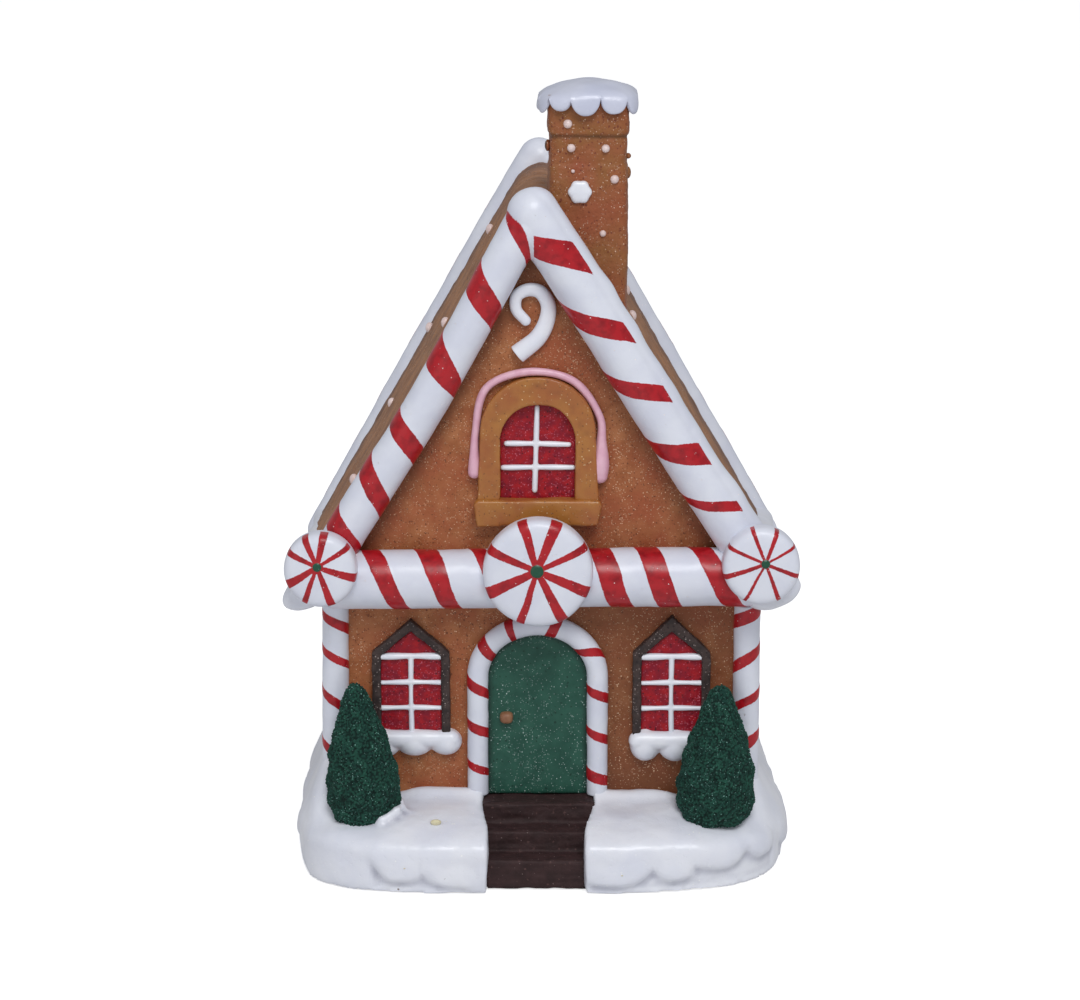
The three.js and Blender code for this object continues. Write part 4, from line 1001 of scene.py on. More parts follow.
@dataclass
class SnowBase:
    """The snow bank that the house stands in."""

    front_y: float = -69.8
    back_y: float = 67.5
    left_x: float = -73.0
    right_x: float = 73.6
    squareness: Triple = (5.1, 3.8, 5.5)  # front left, front right and back corners
    narrowing: float = 2.4
    narrowing_from: Pair = (-35.0, 20.0)
    waist_z: float = 12.0
    foot: tuple[Pair, ...] = ((0.0, 0.7), (1.6, 0.2), (4.0, 0.0), (12.0, 0.0))
    ledge_rounding: float = 20.0
    ledge_rise: float = 6.6
    front_z: float = 21.8
    back_z: float = 24.0
    corner_z: Pair = (36.0, 30.5)
    side_dip: float = 8.0
    side_dip_spread: float = 30.0
    corner_drift: Pair = (46.0, 60.0)
    back_drop: float = 3.0
    steep_share: float = 0.65
    crest: Triple = (2.0, 3.5, 3.2)  # height, distance from the edge, and width
    front_dips: tuple[Triple, ...] = (  # X, depth and width
        (-42.0, 1.6, 5.0), (24.0, 1.0, 8.0), (42.0, 3.4, 6.0))
    overhang: float = 1.0
    swell: float = 1.2
    swell_height: Pair = (2.0, 9.0)
    front_hems: tuple[tuple[float, float, float, float, float], ...] = (  # ends in X, height, rise to each
        (-49.4, -34.6, 3.6, 7.5, 1.8), (-34.6, -17.5, 2.2, 4.6, -3.0), (13.0, 32.0, 2.6, 0.4, 4.2),
        (32.0, 44.2, 3.8, 5.6, 1.6), (44.2, 60.2, 6.4, 2.0, 4.0), (60.2, 68.5, 7.2, 4.0, 1.0))
    side_hems: tuple[float, float, int] = (-28.0, 205.0, 14)  # first and last angle, and how many
    side_hem: Pair = (3.5, 4.0)  # height, and rise to each end
    nibbles: tuple[Quad, ...] = (  # middle and size
        (-46.6, -59.3, 19.4, 1.7), (-44.2, -58.2, 20.2, 1.5), (-42.3, -56.4, 21.2, 1.7),
        (-40.8, -54.0, 21.4, 1.5), (-41.2, -51.6, 22.4, 1.4))
    crumbs: tuple[Triple, ...] = (  # X, Z and size
        (-30.6, 18.9, 1.6), (-39.4, 8.0, 0.3), (23.6, 6.2, 0.3))

    @staticmethod
    def _reach(c: Array, s: Array, half_x: float, half_y: float, power: Array | float) -> Array:
        """How far a squared ellipse reaches from its middle in a direction."""
        return ((np.abs(c) / half_x) ** power + (np.abs(s) / half_y) ** power) ** (-1 / power)

    def _wall_height(self, x: Array, y: Array) -> Array:
        """Snow height against the wall."""
        corner = soft_step(np.abs(x), *self.corner_drift)
        backward = soft_step(y, FRONT_WALL_Y, BACK_WALL_Y)
        dip = self.side_dip * np.exp(-(((y - HOUSE_MIDDLE_Y) / self.side_dip_spread) ** 2))
        side = np.where(x < 0, *self.corner_z) - self.back_drop * backward - dip
        dips = sum(deep * np.exp(-(((x - at) / wide) ** 2)) for at, deep, wide in self.front_dips)
        return mix(mix(self.front_z - dips, self.back_z, backward), side, corner)

    def _edge(self, angle: Array) -> Array:
        """Points of the widest outline in X and Y, in given directions."""
        c, s = np.cos(angle), np.sin(angle)
        front_left, front_right, back = self.squareness
        power = np.where(s > 0, back, np.where(c < 0, front_left, front_right))
        half_x, half_y = (self.right_x - self.left_x) / 2, (self.back_y - self.front_y) / 2
        reach = self._reach(c, s, half_x, half_y, power)
        y = (self.front_y + self.back_y) / 2 + s * reach
        x = (self.left_x + self.right_x) / 2 + c * reach
        x = x - self.narrowing * soft_step(y, *self.narrowing_from) * np.clip(1.2 * c, 0, 1)
        return np.stack([x, y], axis=-1)

    def _point(self, angle: Array, inward: float) -> Array:
        """Points of the bank's top in given directions: 0 inward is its outline, and 1 is at the wall."""
        c, s = np.cos(angle), np.sin(angle)
        edge = self._edge(angle)
        wall_reach = self._reach(c, s, WALL_HALF_WIDTH, (BACK_WALL_Y - FRONT_WALL_Y) / 2, 16.0)
        wall = np.stack([c * wall_reach, HOUSE_MIDDLE_Y + s * wall_reach], axis=-1)
        wall_z = self._wall_height(wall[:, 0], wall[:, 1])
        width = np.linalg.norm(edge - wall, axis=-1)
        rounding = np.minimum(1.0, width * inward / self.ledge_rounding)
        ledge = self.waist_z + self.ledge_rise * np.sqrt(1 - (1 - rounding) ** 2)
        flat = ledge + (wall_z - self.waist_z - self.ledge_rise) * inward**1.5
        height, at, wide = self.crest
        flat = flat + height * np.exp(-(((width * (1 - inward) - at) / wide) ** 2))
        steep = mix(self.waist_z, wall_z, min(1.0, inward / self.steep_share))
        z = mix(flat, steep, soft_step(np.abs(wall[:, 0]), *self.corner_drift))
        return np.concatenate([mix(edge, wall, inward), z[:, None]], axis=1)

    def _hems(self) -> list[tuple[float, float, float, float, float]]:
        """Scallops of the snow's lower edge: first and last angle, height, and rise to either end."""
        front = np.radians(np.linspace(-178, -2, 500))
        x_there = self._edge(front)[:, 0]
        hems = [
            (float(np.interp(start, x_there, front)), float(np.interp(end, x_there, front)), *heights)
            for start, end, *heights in self.front_hems
        ]
        first, last, count = self.side_hems
        height, rise = self.side_hem
        draws = seeded_draws(29)
        corners = [mix(first, last, index / count) + 5 * next(draws) - 2.5 for index in range(count + 1)]
        for start, end in zip(corners, corners[1:]):
            hems.append((math.radians(start), math.radians(end), height + 1.5 * next(draws), rise, rise))
        return hems

    def _hem(self, angle: Array) -> tuple[Array, Array]:
        """Height of the scallops in given directions, below the ground where none are, and their swelling."""
        height, swell = np.full(len(angle), -3.0), np.zeros(len(angle))
        for start, end, bottom, left_rise, right_rise in self._hems():
            share = ((angle - start) % (2 * math.pi)) / (end - start)
            inside = share <= 1
            share = np.where(inside, share, 0.5)
            arc = bottom + left_rise * np.clip(1 - 2 * share, 0, 1) ** 2.3
            arc = arc + right_rise * np.clip(2 * share - 1, 0, 1) ** 2.6
            height = np.where(inside, arc, height)
            swell = np.where(inside, np.sqrt(np.clip(1 - np.abs(2 * share - 1) ** 2.4, 0, 1)), swell)
        return height, swell

    def _bank(self) -> Surface:
        """The bank, with the scallops of its lower edge hanging over the foot."""
        angle = full_turn(680)
        outward = xyz(np.cos(angle), np.sin(angle), 0.0)
        edge = self._point(angle, 0.0)
        hem, swell = self._hem(angle)
        heights, insets = zip(*self.foot)
        overhang = self.overhang * mix(0.3, 1.0, soft_step(-np.sin(angle), 0.35, 0.62))

        def out(z: Array) -> Array:
            """How far the snow stands out from the plain outline."""
            low, high = self.swell_height
            swollen = self.swell * swell * (1 - soft_step(z - hem, low, high)) * soft_step(z - hem, -0.5, 0.4)
            return swollen - overhang * soft_step(hem - z, -0.2, 0.8) * soft_step(z, 0.4, 1.6)

        rings = []
        for z in np.linspace(0.0, self.waist_z, 28)[:-1]:
            ring = edge + outward * (out(z) - np.interp(z, heights, insets))[:, None]
            ring[:, 2] = z
            rings.append(ring)
        for share in np.linspace(0, 1, 30):
            ring = self._point(angle, share**1.3 * 1.1)
            rings.append(ring + outward * (out(ring[:, 2]) * max(0.0, 1 - 3 * share))[:, None])
        return shell(np.array(rings))

    def _crumbs(self, skin: Surface) -> Surface:
        """Butter crumbs stuck on the front of the snow."""
        made = []
        for x, z, size in self.crumbs:
            near = np.hypot(skin.points[:, 0] - x, skin.points[:, 2] - z) < 1.0
            made.append(blob((x, skin.points[near, 1].min(), z), (size, 0.35 * size, 0.6 * size), 12))
        return Surface.joined(made)

    def build(self, steps: Steps) -> None:
        """Fuse the bank with the bits at the tree, notch it for the steps, paint shade into its hollows, and
        finish it.
        """
        nibbles = [blob((x, y, z), (size, size, 0.8 * size), 16) for x, y, z, size in self.nibbles]
        skin = fused([self._bank(), *nibbles], 0.84, 2, cutter=steps.notch())
        # painted shade in the bank's hollows
        hollow = np.clip(skin.hollows(1) / 0.07, 0, 1)
        skin = roughened(skin, (0.5, 12.0), (0.2, 5.0), (0.07, 2.2), seed=11).grounded()
        publish(skin.valued(hollow=hollow), "moulded_snow", Look.SNOW, "snow_base")
        publish(self._crumbs(skin), "snow_crumbs", Look.CRUMB, "snow_base")


@dataclass
class Steps:
    """Three chocolate steps: left and right end, front edge before the wall, and height."""

    treads: tuple[Quad, ...] = (
        (-17.3, 15.8, 10.5, 20.7), (-17.0, 14.6, 18.2, 14.7), (-15.9, 13.2, 26.3, 8.7))

    def notch(self) -> Surface:
        """The space in the snow that the steps fill, with smooth sides."""
        right = [(right - 0.3, FRONT_WALL_Y - out + 3.5) for _, right, out, _ in self.treads]
        left = [(left + 0.3, FRONT_WALL_Y - out + 3.5) for left, _, out, _ in self.treads[::-1]]
        (right_x, _), (left_x, _) = right[0], left[-1]
        plan = [(right_x, FRONT_WALL_Y + 1), *right, (right[-1][0], -90.0)]
        plan += [(left[0][0], -90.0), *left, (left_x, FRONT_WALL_Y + 1)]
        return fused([shell(np.array([[(x, y, z) for x, y in plan] for z in (-5.0, 60.0)]))], 0.8, 4)

    def build(self) -> None:
        """Fuse the treads and drag a rough brush across them."""
        skin = fused([
            prism([(left, 0.0), (right, 0.0), (right, height), (left, height)],
                  FRONT_WALL_Y + 1, FRONT_WALL_Y - out)
            for left, right, out, height in self.treads], 0.55, 2)
        height = 0.2 * lumps(skin.points, (9.0, 1.3, 1.1), 5) + 0.14 * lumps(skin.points, (2.0, 0.8, 0.7), 6)
        height += 0.25 * lumps(skin.points, 4.0, 7)
        publish(skin.lifted(height).grounded(), "porch_steps", Look.CHOCOLATE, "steps")


@dataclass
class FoamTree:
    """A bottle brush tree of flocked foam, leaning a little outwards."""

    side: str
    x: float
    tip_x: float
    foot_z: float
    height: float
    radius: float
    y: float = -50.6
    lump: float = 0.032
    grain: float = 0.7
    grain_depth: float = 0.7
    profile: tuple[Pair, ...] = (
        (0.3, -0.01), (0.8, -0.01), (0.95, 0.05), (1.0, 0.18), (0.98, 0.31), (0.9, 0.44), (0.78, 0.57),
        (0.61, 0.7), (0.44, 0.83), (0.27, 0.94), (0.12, 0.99))

    def build(self) -> None:
        """Turn the cone, break it into grains and paint shade into the holes between them."""
        line = Path.smooth([(share * self.radius, 0.0, rise * self.height) for share, rise in self.profile])
        line = line.at(np.linspace(0, line.length, 250))
        angle = full_turn(290)[None, :]
        reach, rise = line[:, :1], line[:, 2:]
        share = rise / self.height
        lump = 1 + self.lump * (np.sin(angle * 5 + share * 21) + np.cos(angle * 7 - share * 33))
        x = self.x + (self.tip_x - self.x) * share + reach * lump * np.cos(angle)
        skin = shell(xyz(x, self.y + reach * lump * np.sin(angle), self.foot_z + rise))
        near = grains(skin.points, self.grain, 3)
        patch = lumps(skin.points, 2.2, 8)
        dip = soft_step(near, 0.15, 0.85) * 0.75 + 0.25 * (0.5 - 0.5 * patch)
        # the holes between grains get painted shade
        skin = skin.lifted(self.grain_depth * (0.5 - dip)).valued(hollow=soft_step(dip, 0.3, 0.85))
        publish(skin, f"foam_tree_{self.side}", Look.FOLIAGE, f"tree_{self.side}")


# ---------------- walls, roof and chimney


@dataclass
class Walls:
    """The solid core of the house, five-sided in section."""

    foot_z: float = 10.3
    under_roof: float = 7.3
    # painted shade on the walls: its strength low on the right side, where it fades in across X and out
    # between two heights; extra painted shade near the foot; and painted shade under the gable canes
    low_shade: float = 0.6
    low_shade_x: Pair = (-30.0, 20.0)
    low_shade_z: Pair = (60.0, 115.0)
    foot_shade: Triple = (0.4, 22.0, 36.0)  # share, and from and to which height
    gable_wash: Triple = (0.6, 10.0, 17.0)  # share, and from and to how far inwards

    def build(self) -> None:
        """Cast the core, give it a dough-like face, and paint shade low down on its right side and along the
        gable slopes under the canes.
        """
        apex = ROOF_POINT_Z - self.under_roof / math.cos(ROOF_PITCH)
        shoulder = apex - WALL_HALF_WIDTH * math.tan(ROOF_PITCH)
        half = WALL_HALF_WIDTH
        outline = [(-half, self.foot_z), (half, self.foot_z), (half, shoulder), (0, apex), (-half, shoulder)]
        skin = fused([prism(outline, BACK_WALL_Y, FRONT_WALL_Y)], 1.2, 1)
        skin = roughened(skin, (0.22, 11.0), (0.12, 3.0), (0.08, 1.4), seed=21)
        x, _, z = skin.points.T
        share, *reach = self.foot_shade
        low = 1 - soft_step(z, *self.low_shade_z) + share * (1 - soft_step(z, *reach))
        low_shade = self.low_shade * low * soft_step(x, *self.low_shade_x)
        inward = (ROOF_POINT_Z - z) * math.cos(ROOF_PITCH) - np.abs(x) * math.sin(ROOF_PITCH)
        share, *reach = self.gable_wash
        low_shade = np.maximum(low_shade, share * (1 - soft_step(inward, *reach)))
        publish(skin.valued(hollow=low_shade), "gingerbread_walls", Look.GINGERBREAD, "house_body")


@dataclass
class Roof:
    """Both slopes of the roof, with a few small candies pressed in."""

    thickness: float = 7.0
    left_slope: Pair = (1.2, 10.5)  # how proud, and the rounding of the ridge
    right_slope: Pair = (-0.6, 7.1)
    shadow: Triple = (0.6, 18.0, 7.0)  # share, and from and to how far before the back
    eave_z: float = 84.5
    candy_radius: float = 1.35
    candies: tuple[tuple[int, float, float], ...] = (  # side, Y and Z
        (-1, 20.0, 181.0), (-1, 38.0, 147.4), (-1, 8.0, 129.4), (-1, -24.0, 160.0), (-1, -20.0, 112.0),
        (1, -4.0, 158.6), (1, 30.0, 160.6), (1, -26.0, 128.0), (1, -22.0, 106.0))

    def _slope(self, proud: float, ridge_radius: float) -> Array:
        """Outline of a right slope in X and Z, from under the ridge round to the ridge's top."""
        normal = np.array([math.sin(ROOF_PITCH), math.cos(ROOF_PITCH)])
        point_z = ROOF_POINT_Z + proud / math.cos(ROOF_PITCH)
        eave = np.array([(point_z - self.eave_z) / math.tan(ROOF_PITCH), self.eave_z])
        inner_point = ROOF_POINT_Z - self.thickness / math.cos(ROOF_PITCH)
        ridge_middle = point_z - ridge_radius / math.cos(ROOF_PITCH)
        turn = np.radians(np.linspace(30, 90, 9))
        arc = np.stack([np.cos(turn), np.sin(turn)], axis=1) * ridge_radius + [0, ridge_middle]
        return np.vstack([[0.0, inner_point], eave - normal * (self.thickness + proud), eave, arc])

    def _candies(self) -> Surface:
        """The candies, half sunk in the slopes."""
        size, made = self.candy_radius, []
        for side, y, z in self.candies:
            proud = (self.left_slope, self.right_slope)[side > 0][0]
            x = (ROOF_POINT_Z - z) / math.tan(ROOF_PITCH) + proud / math.sin(ROOF_PITCH)
            made.append(blob((side * x, y, z), (size, size, 1.3 * size), 20))
        return Surface.joined(made)

    def build(self) -> None:
        """Cast the roof and set its candies."""
        right = self._slope(*self.right_slope)
        left = self._slope(*self.left_slope)[-2:0:-1] * [-1, 1]
        skin = fused([prism(np.vstack([right, left]), BACK_WALL_Y, FRONT_WALL_Y)], 1.1, 1)
        skin = roughened(skin, (0.3, 12.0), (0.2, 3.2), (0.1, 1.5), seed=31)
        share, far, near = self.shadow
        shade = share * soft_step(skin.points[:, 1], BACK_WALL_Y - far, BACK_WALL_Y - near)
        skin = skin.valued(hollow=shade)
        nodes = ("roof_left", "roof_right")
        publish(skin, "roof_slopes", Look.ROOF, *nodes)
        publish(self._candies(), "roof_candies", Look.SUGAR, *nodes)


@dataclass
class EaveSnow:
    """Snow that lies along one side eave and sags below it."""

    side: int
    x: float = 67.7
    z: float = 83.8
    half_width: float = 7.6
    flatness: float = 0.68
    skew: float = 0.3
    overhang: float = 6.4
    waves: int = 4
    sag: float = 0.04
    back_share: float = 0.72
    lift: Pair = (-0.22, 0.34)  # slope of the front half, on the left and on the right

    def build(self) -> None:
        """Roll the snow, thinner towards the back, skew it along the slope and finish it."""
        ends = [FRONT_WALL_Y - self.overhang, BACK_WALL_Y + self.overhang]
        path = Path(xyz(self.side * self.x, np.linspace(*ends, 40), self.z))

        def radius(share: Array) -> Array:
            """Half width with its waves."""
            taper = mix(1.0, self.back_share, soft_step(share, 0.15, 0.9))
            return self.half_width * taper * (1 + self.sag * np.cos(share * self.waves * 2 * math.pi))

        skin = Roll(path, radius, front=(0.0, 0.0, 1.0), flat=self.flatness, domes=(False, False),
                    step=0.8, cut_rounding=0.3).skin()
        skin.points[:, 0] += self.side * (self.z - skin.points[:, 2]) * self.skew
        outward = np.abs(skin.points[:, 0]) - self.x
        lift = self.lift[self.side > 0] * (1 - soft_step(skin.points[:, 1], -20.0, 20.0))
        skin.points[:, 2] += outward * lift
        skin = roughened(skin, (0.35, 8.0), (0.15, 3.5), seed=41)
        word = "right" if self.side > 0 else "left"
        publish(skin, f"eave_drift_{word}", Look.SNOW, f"eave_snow_{word}")


@dataclass
class Chimney:
    """The chimney stack with its sugar pearls, icing button and snow cap."""

    x: float = 13.3
    y: float = -24.9
    half: float = 11.5
    root_z: float = 158.0
    top_z: float = 228.0
    groove_z: float = 215.7
    groove_depth: float = 0.45
    collar_proud: float = 0.15
    neck_foot_z: float = 207.6
    neck_inset: float = 0.4
    squareness: float = 9.0
    pearls: tuple[Triple, ...] = (  # X, Z and radius
        (7.5, 219.6, 1.3), (8.5, 212.7, 1.2), (18.3, 212.6, 1.2), (20.9, 203.8, 1.25), (17.6, 188.2, 0.95),
        (9.0, 206.1, 0.55))
    back_pearls: tuple[Pair, ...] = ((-5.5, 212.2), (3.6, 208.2), (-1.4, 197.5))
    back_pearl_radius: float = 1.2
    crumbs: tuple[Triple, ...] = (  # side, Z and half height
        (-1.0, 212.8, 1.7), (1.0, 205.0, 1.7), (1.0, 209.8, 0.8))
    button: Quad = (11.0, 200.2, 3.3, 1.35)  # X, Z, radius and depth
    cap_half: float = 14.6
    cap_squareness: Pair = (4.0, 2.0)  # at the rim and on top
    cap_sag: float = 1.0
    notches: tuple[float, ...] = (  # angles round the cap, in degrees
        -132.0, -109.5, -76.0, -48.5, -27.0, -4.0, 21.0, 43.0, 66.0, 88.0, 112.0, 135.0, 157.0, 180.0, 204.0)
    drips: tuple[float, ...] = (  # their length, between each notch and the next
        3.1, 4.3, 4.1, 4.2, 3.4, 4.1, 3.7, 4.3, 3.3, 4.0, 4.2, 3.5, 4.1, 3.6, 4.2)

    def _squared(self, half: Array, z: Array, power: Array | float, columns: int) -> Array:
        """Rings of a turned shape that is squared in plan, by half width and height."""
        turn = np.linspace(-math.pi, math.pi, columns, endpoint=False)
        c, s = np.cos(turn), np.sin(turn)
        power = np.broadcast_to(power, len(half))[:, None]
        reach = half[:, None] * (np.abs(c) ** power + np.abs(s) ** power) ** (-1 / power)
        return xyz(self.x + reach * c, self.y + reach * s, z[:, None])

    def _stack(self) -> Surface:
        """The stack with its groove, neck and collar, and crumbs on its other faces; shade is painted into
        the groove and onto the crumbs on its left side.
        """
        z = np.arange(self.root_z, self.top_z, 0.5)
        groove_z = self.groove_z + 0.2
        groove = np.exp(-(((z - groove_z) / 0.55) ** 2)) * self.groove_depth
        half = self.half + self.collar_proud * soft_step(z, self.groove_z, self.groove_z + 1) - groove
        neck = soft_step(z, self.neck_foot_z - 0.8, self.neck_foot_z + 0.8)
        half = half - self.neck_inset * neck * (1 - soft_step(z, self.groove_z - 0.5, self.groove_z + 0.5))
        skin = shell(self._squared(half, z, self.squareness, 184))
        skin = roughened(skin, (0.3, 9.0), (0.2, 2.6), (0.12, 1.2), seed=51)
        bits = [
            blob((self.x + side * self.half, self.y - 5.5, middle), (0.9, 2.0, tall), 20)
            for side, middle, tall in self.crumbs
        ]
        size = self.back_pearl_radius
        bits += [blob((self.x + x, self.y + self.half, z), (size,) * 3, 20) for x, z in self.back_pearls]
        skin = Surface.joined([skin, *bits])
        # painted shade in the groove and on the crumbs on the stack's left side
        groove_shade = 0.6 * np.exp(-(((skin.points[:, 2] - groove_z) / 0.6) ** 2))
        left_crumb_shade = 0.8 * (skin.points[:, 0] < self.x - self.half - 0.4)
        return skin.valued(hollow=np.maximum(groove_shade, left_crumb_shade))

    def _pearls(self) -> Surface:
        """Sugar pearls on the front face."""
        front = self.y - self.half
        return Surface.joined(blob((x, front, z), (size, size, size), 20) for x, z, size in self.pearls)

    def _button(self) -> Surface:
        """The six-petalled icing button."""
        x, z, radius, depth = self.button
        turn = full_turn(72)[None, :]
        petals = 1 + 0.055 * np.cos(turn * 6)
        share = np.array([0.9, 0.97, 1.0, 0.995, 0.95, 0.86, 0.7, 0.48, 0.22])[:, None]
        out = np.array([-0.6, -0.55, -0.3, 0.4, 0.72, 0.92, 1.05, 1.13, 1.17])[:, None] * depth
        reach = radius * share * petals
        y = self.y - self.half - 0.2 - out
        return shell(xyz(x + reach * np.cos(turn), y, z + reach * np.sin(turn)))

    def _cap(self) -> Surface:
        """The snow cap with a drip between every two notches."""
        turn = np.degrees(np.linspace(-math.pi, math.pi, 360, endpoint=False))
        starts = np.array(self.notches)
        ends = np.append(starts[1:], starts[0] + 360)
        drop = np.zeros(len(turn))
        for start, end, deep in zip(starts, ends, self.drips):
            across = ((turn - start) % 360) / (end - start)
            inside = across < 1
            rounded = np.clip(1 - np.abs(2 * across - 1) ** 2.3, 0, 1) ** (1 / 1.9)
            drop = np.where(inside, deep * rounded, drop)
        profile = [  # share of the half width, height, and share of the drip
            (0.6, 227.1, 0.0), (0.85, 227.0, 0.3), (0.915, 226.9, 0.95), (0.95, 226.7, 1.06),
            (0.985, 226.9, 1.0), (0.995, 227.2, 0.6), (0.975, 227.6, 0.22), (0.93, 228.2, 0.05),
            (0.85, 229.0, 0.0), (0.73, 229.8, 0.0), (0.57, 230.6, 0.0), (0.38, 231.1, 0.0),
            (0.18, 231.4, 0.0)]
        share, z, droop = Path.smooth(profile, 4).points.T
        power = mix(*self.cap_squareness, soft_step(z, 227.0, 230.6))
        rings = self._squared(share * self.cap_half, z, power, len(turn))
        rings[:, :, 2] -= droop[:, None] * drop[None, :]
        swell = droop[:, None] * (drop - drop.mean())[None, :] * 0.14
        rings[:, :, :2] += (rings[:, :, :2] - [self.x, self.y]) * swell[:, :, None] / self.cap_half
        leftward = np.clip((self.x - rings[:, :, 0]) / self.cap_half, 0, 1)
        rings[:, :, 2] -= self.cap_sag * leftward**1.5 * (1 - droop[:, None])
        return roughened(shell(rings), (0.3, 7.0), (0.1, 3.0), seed=61)

    def build(self) -> None:
        """Finish the stack, its pearls, the button and the cap."""
        publish(self._stack(), "chimney_stack", Look.CHIMNEY, "chimney")
        publish(self._pearls(), "chimney_pearls", Look.SUGAR, "chimney")
        publish(self._button(), "chimney_blossom", Look.ICING, "chimney_button")
        publish(self._cap(), "chimney_cap", Look.CAP_SNOW, "chimney_snow")


# ---------------- candy canes and mints


@dataclass
class Cane:
    """A striped roll on a wall: where it runs, how thick it is and how it is painted."""

    piece: str
    node: str
    path: Path
    radius: Radius
    stripes: Stripes
    wall: Wall | None
    front: Triple = (0.0, -1.0, 0.0)
    domes: tuple[bool, bool] = (True, True)
    seam: float = 180.0
    step: float = 0.62
    seed: int = 1
    bead_from: float | None = None  # angle from which white icing beads the outer edge

    @property
    def size(self) -> float:
        """Radius half way along."""
        return float(self.radius(np.array([0.5]))[0])

    def _paint(self, along: Array, degrees: Array) -> Array:
        """Distance inside the paint."""
        return self.stripes.depth(along, degrees, self.size, self.seed)

    def _relief(self, along: Array, degrees: Array) -> Array:
        """Height of the paint, of finger marks and of the icing bead along a cane's outer edge."""
        places = wrapped(along, degrees, self.size)
        height = 0.022 * self.size * lumps(places, 11.0, self.seed)
        height = height + 0.07 * lumps(places, 3.0, self.seed + 3)
        height += 0.11 * soft_step(self._paint(along, degrees), -0.25, 0.35)
        if self.bead_from is not None:
            away = degrees * (1 if self.bead_from > 0 else -1) - abs(self.bead_from)
            wave = 0.55 + 0.45 * lumps(wrapped(along, degrees, 0.0), 7.0, 77)
            height += 0.9 * wave * np.exp(-(((away - 34) / 24) ** 2)) - 0.28 * np.exp(-((away / 6) ** 2))
        return height

    def skin(self) -> Surface:
        """Roll and paint the cane."""
        roll = Roll(self.path, self.radius, self.front, domes=self.domes, seam=self.seam, step=self.step)
        return roll.skin(self._relief, {"stripe": self._paint}).valued(dot=UNPAINTED)

    def seen_from(self, points: Array) -> tuple[Array, Array]:
        """How far points of a melted skin lie from the plain cane, and inside its paint."""
        along, degrees, away = self.path.seen_from(points, self.front)
        return away - self.radius(along / self.path.length), self._paint(along, degrees)

    def build(self) -> None:
        """Finish the cane."""
        placed = self.wall.put(self.skin()) if self.wall else self.skin()
        publish(placed, self.piece, Look.CANDY, self.node)


@dataclass(frozen=True)
class GableRoll:
    """One slanted cane of a gable, from its foot up to the apex, in the frame of its wall."""

    route: tuple[Pair, ...]
    radius: Pair
    stripes: Stripes
    seed: int
    bead_from: float | None = None

    def cane(self, wall: Wall, word: str, side: str) -> Cane:
        """Lay the cane on its wall."""
        return Cane(
            f"gable_roll_{word}_{side}", f"gable_cane_{word}_{side}", Path.on_wall(self.route, CANE_OUT),
            lambda share: mix(*self.radius, share), self.stripes, wall, seed=self.seed,
            bead_from=self.bead_from)


LEFT_ROLL = GableRoll(
    ((-61.9, 93.2), (-52.5, 108.9), (-34.0, 138.5), (-3.9, 193.6)), (6.0, 5.95),
    Stripes((
        (115.0, 121.4, 103.4, 106.3), (90.5, 100.2, 82.2, 88.9), (66.0, 76.8, 60.2, 64.5),
        (44.9, 51.0, 37.2, 43.2), (28.4, 35.6, 18.7, 24.3), (9.6, 17.2, 4.0, 8.5))), 3)
RIGHT_ROLL = GableRoll(
    ((61.8, 94.0), (54.1, 106.3), (41.6, 125.4), (7.3, 180.3), (1.8, 188.6), (-2.4, 195.1)), (7.2, 7.4),
    Stripes((
        (114.6, 123.4, 96.2, 107.2), (88.4, 96.9, 73.2, 80.2), (66.2, 72.4, 52.8, 58.8),
        (43.4, 48.9, 31.0, 39.0), (26.4, 29.8, 14.8, 18.6)), right=-48.0, within=(-48.0, 999.0)), 7, -48.0)
BACK_ROLL = GableRoll(
    ((-69.0, 78.5), (-36.0, 135.7), (-3.1, 192.7), (-0.4, 197.4)), (6.4, 6.4),
    Stripes(LEFT_ROLL.stripes.edges, within=(-95.0, 90.0)), 5)
BACK_BOWED_ROLL = GableRoll(
    ((69.4, 78.8), (37.3, 136.3), (4.9, 193.2), (1.4, 198.9)), (6.4, 6.4),
    BACK_ROLL.stripes.mirrored(), 45)
APEX_FILL = ((-4.0, -7.6, 191.0), (4.5, 5.0, 6.0))  # dough pressed into the joint: middle and half sizes
APEX_SEAM = 1.1  # how far the left cane's paint runs over the joint


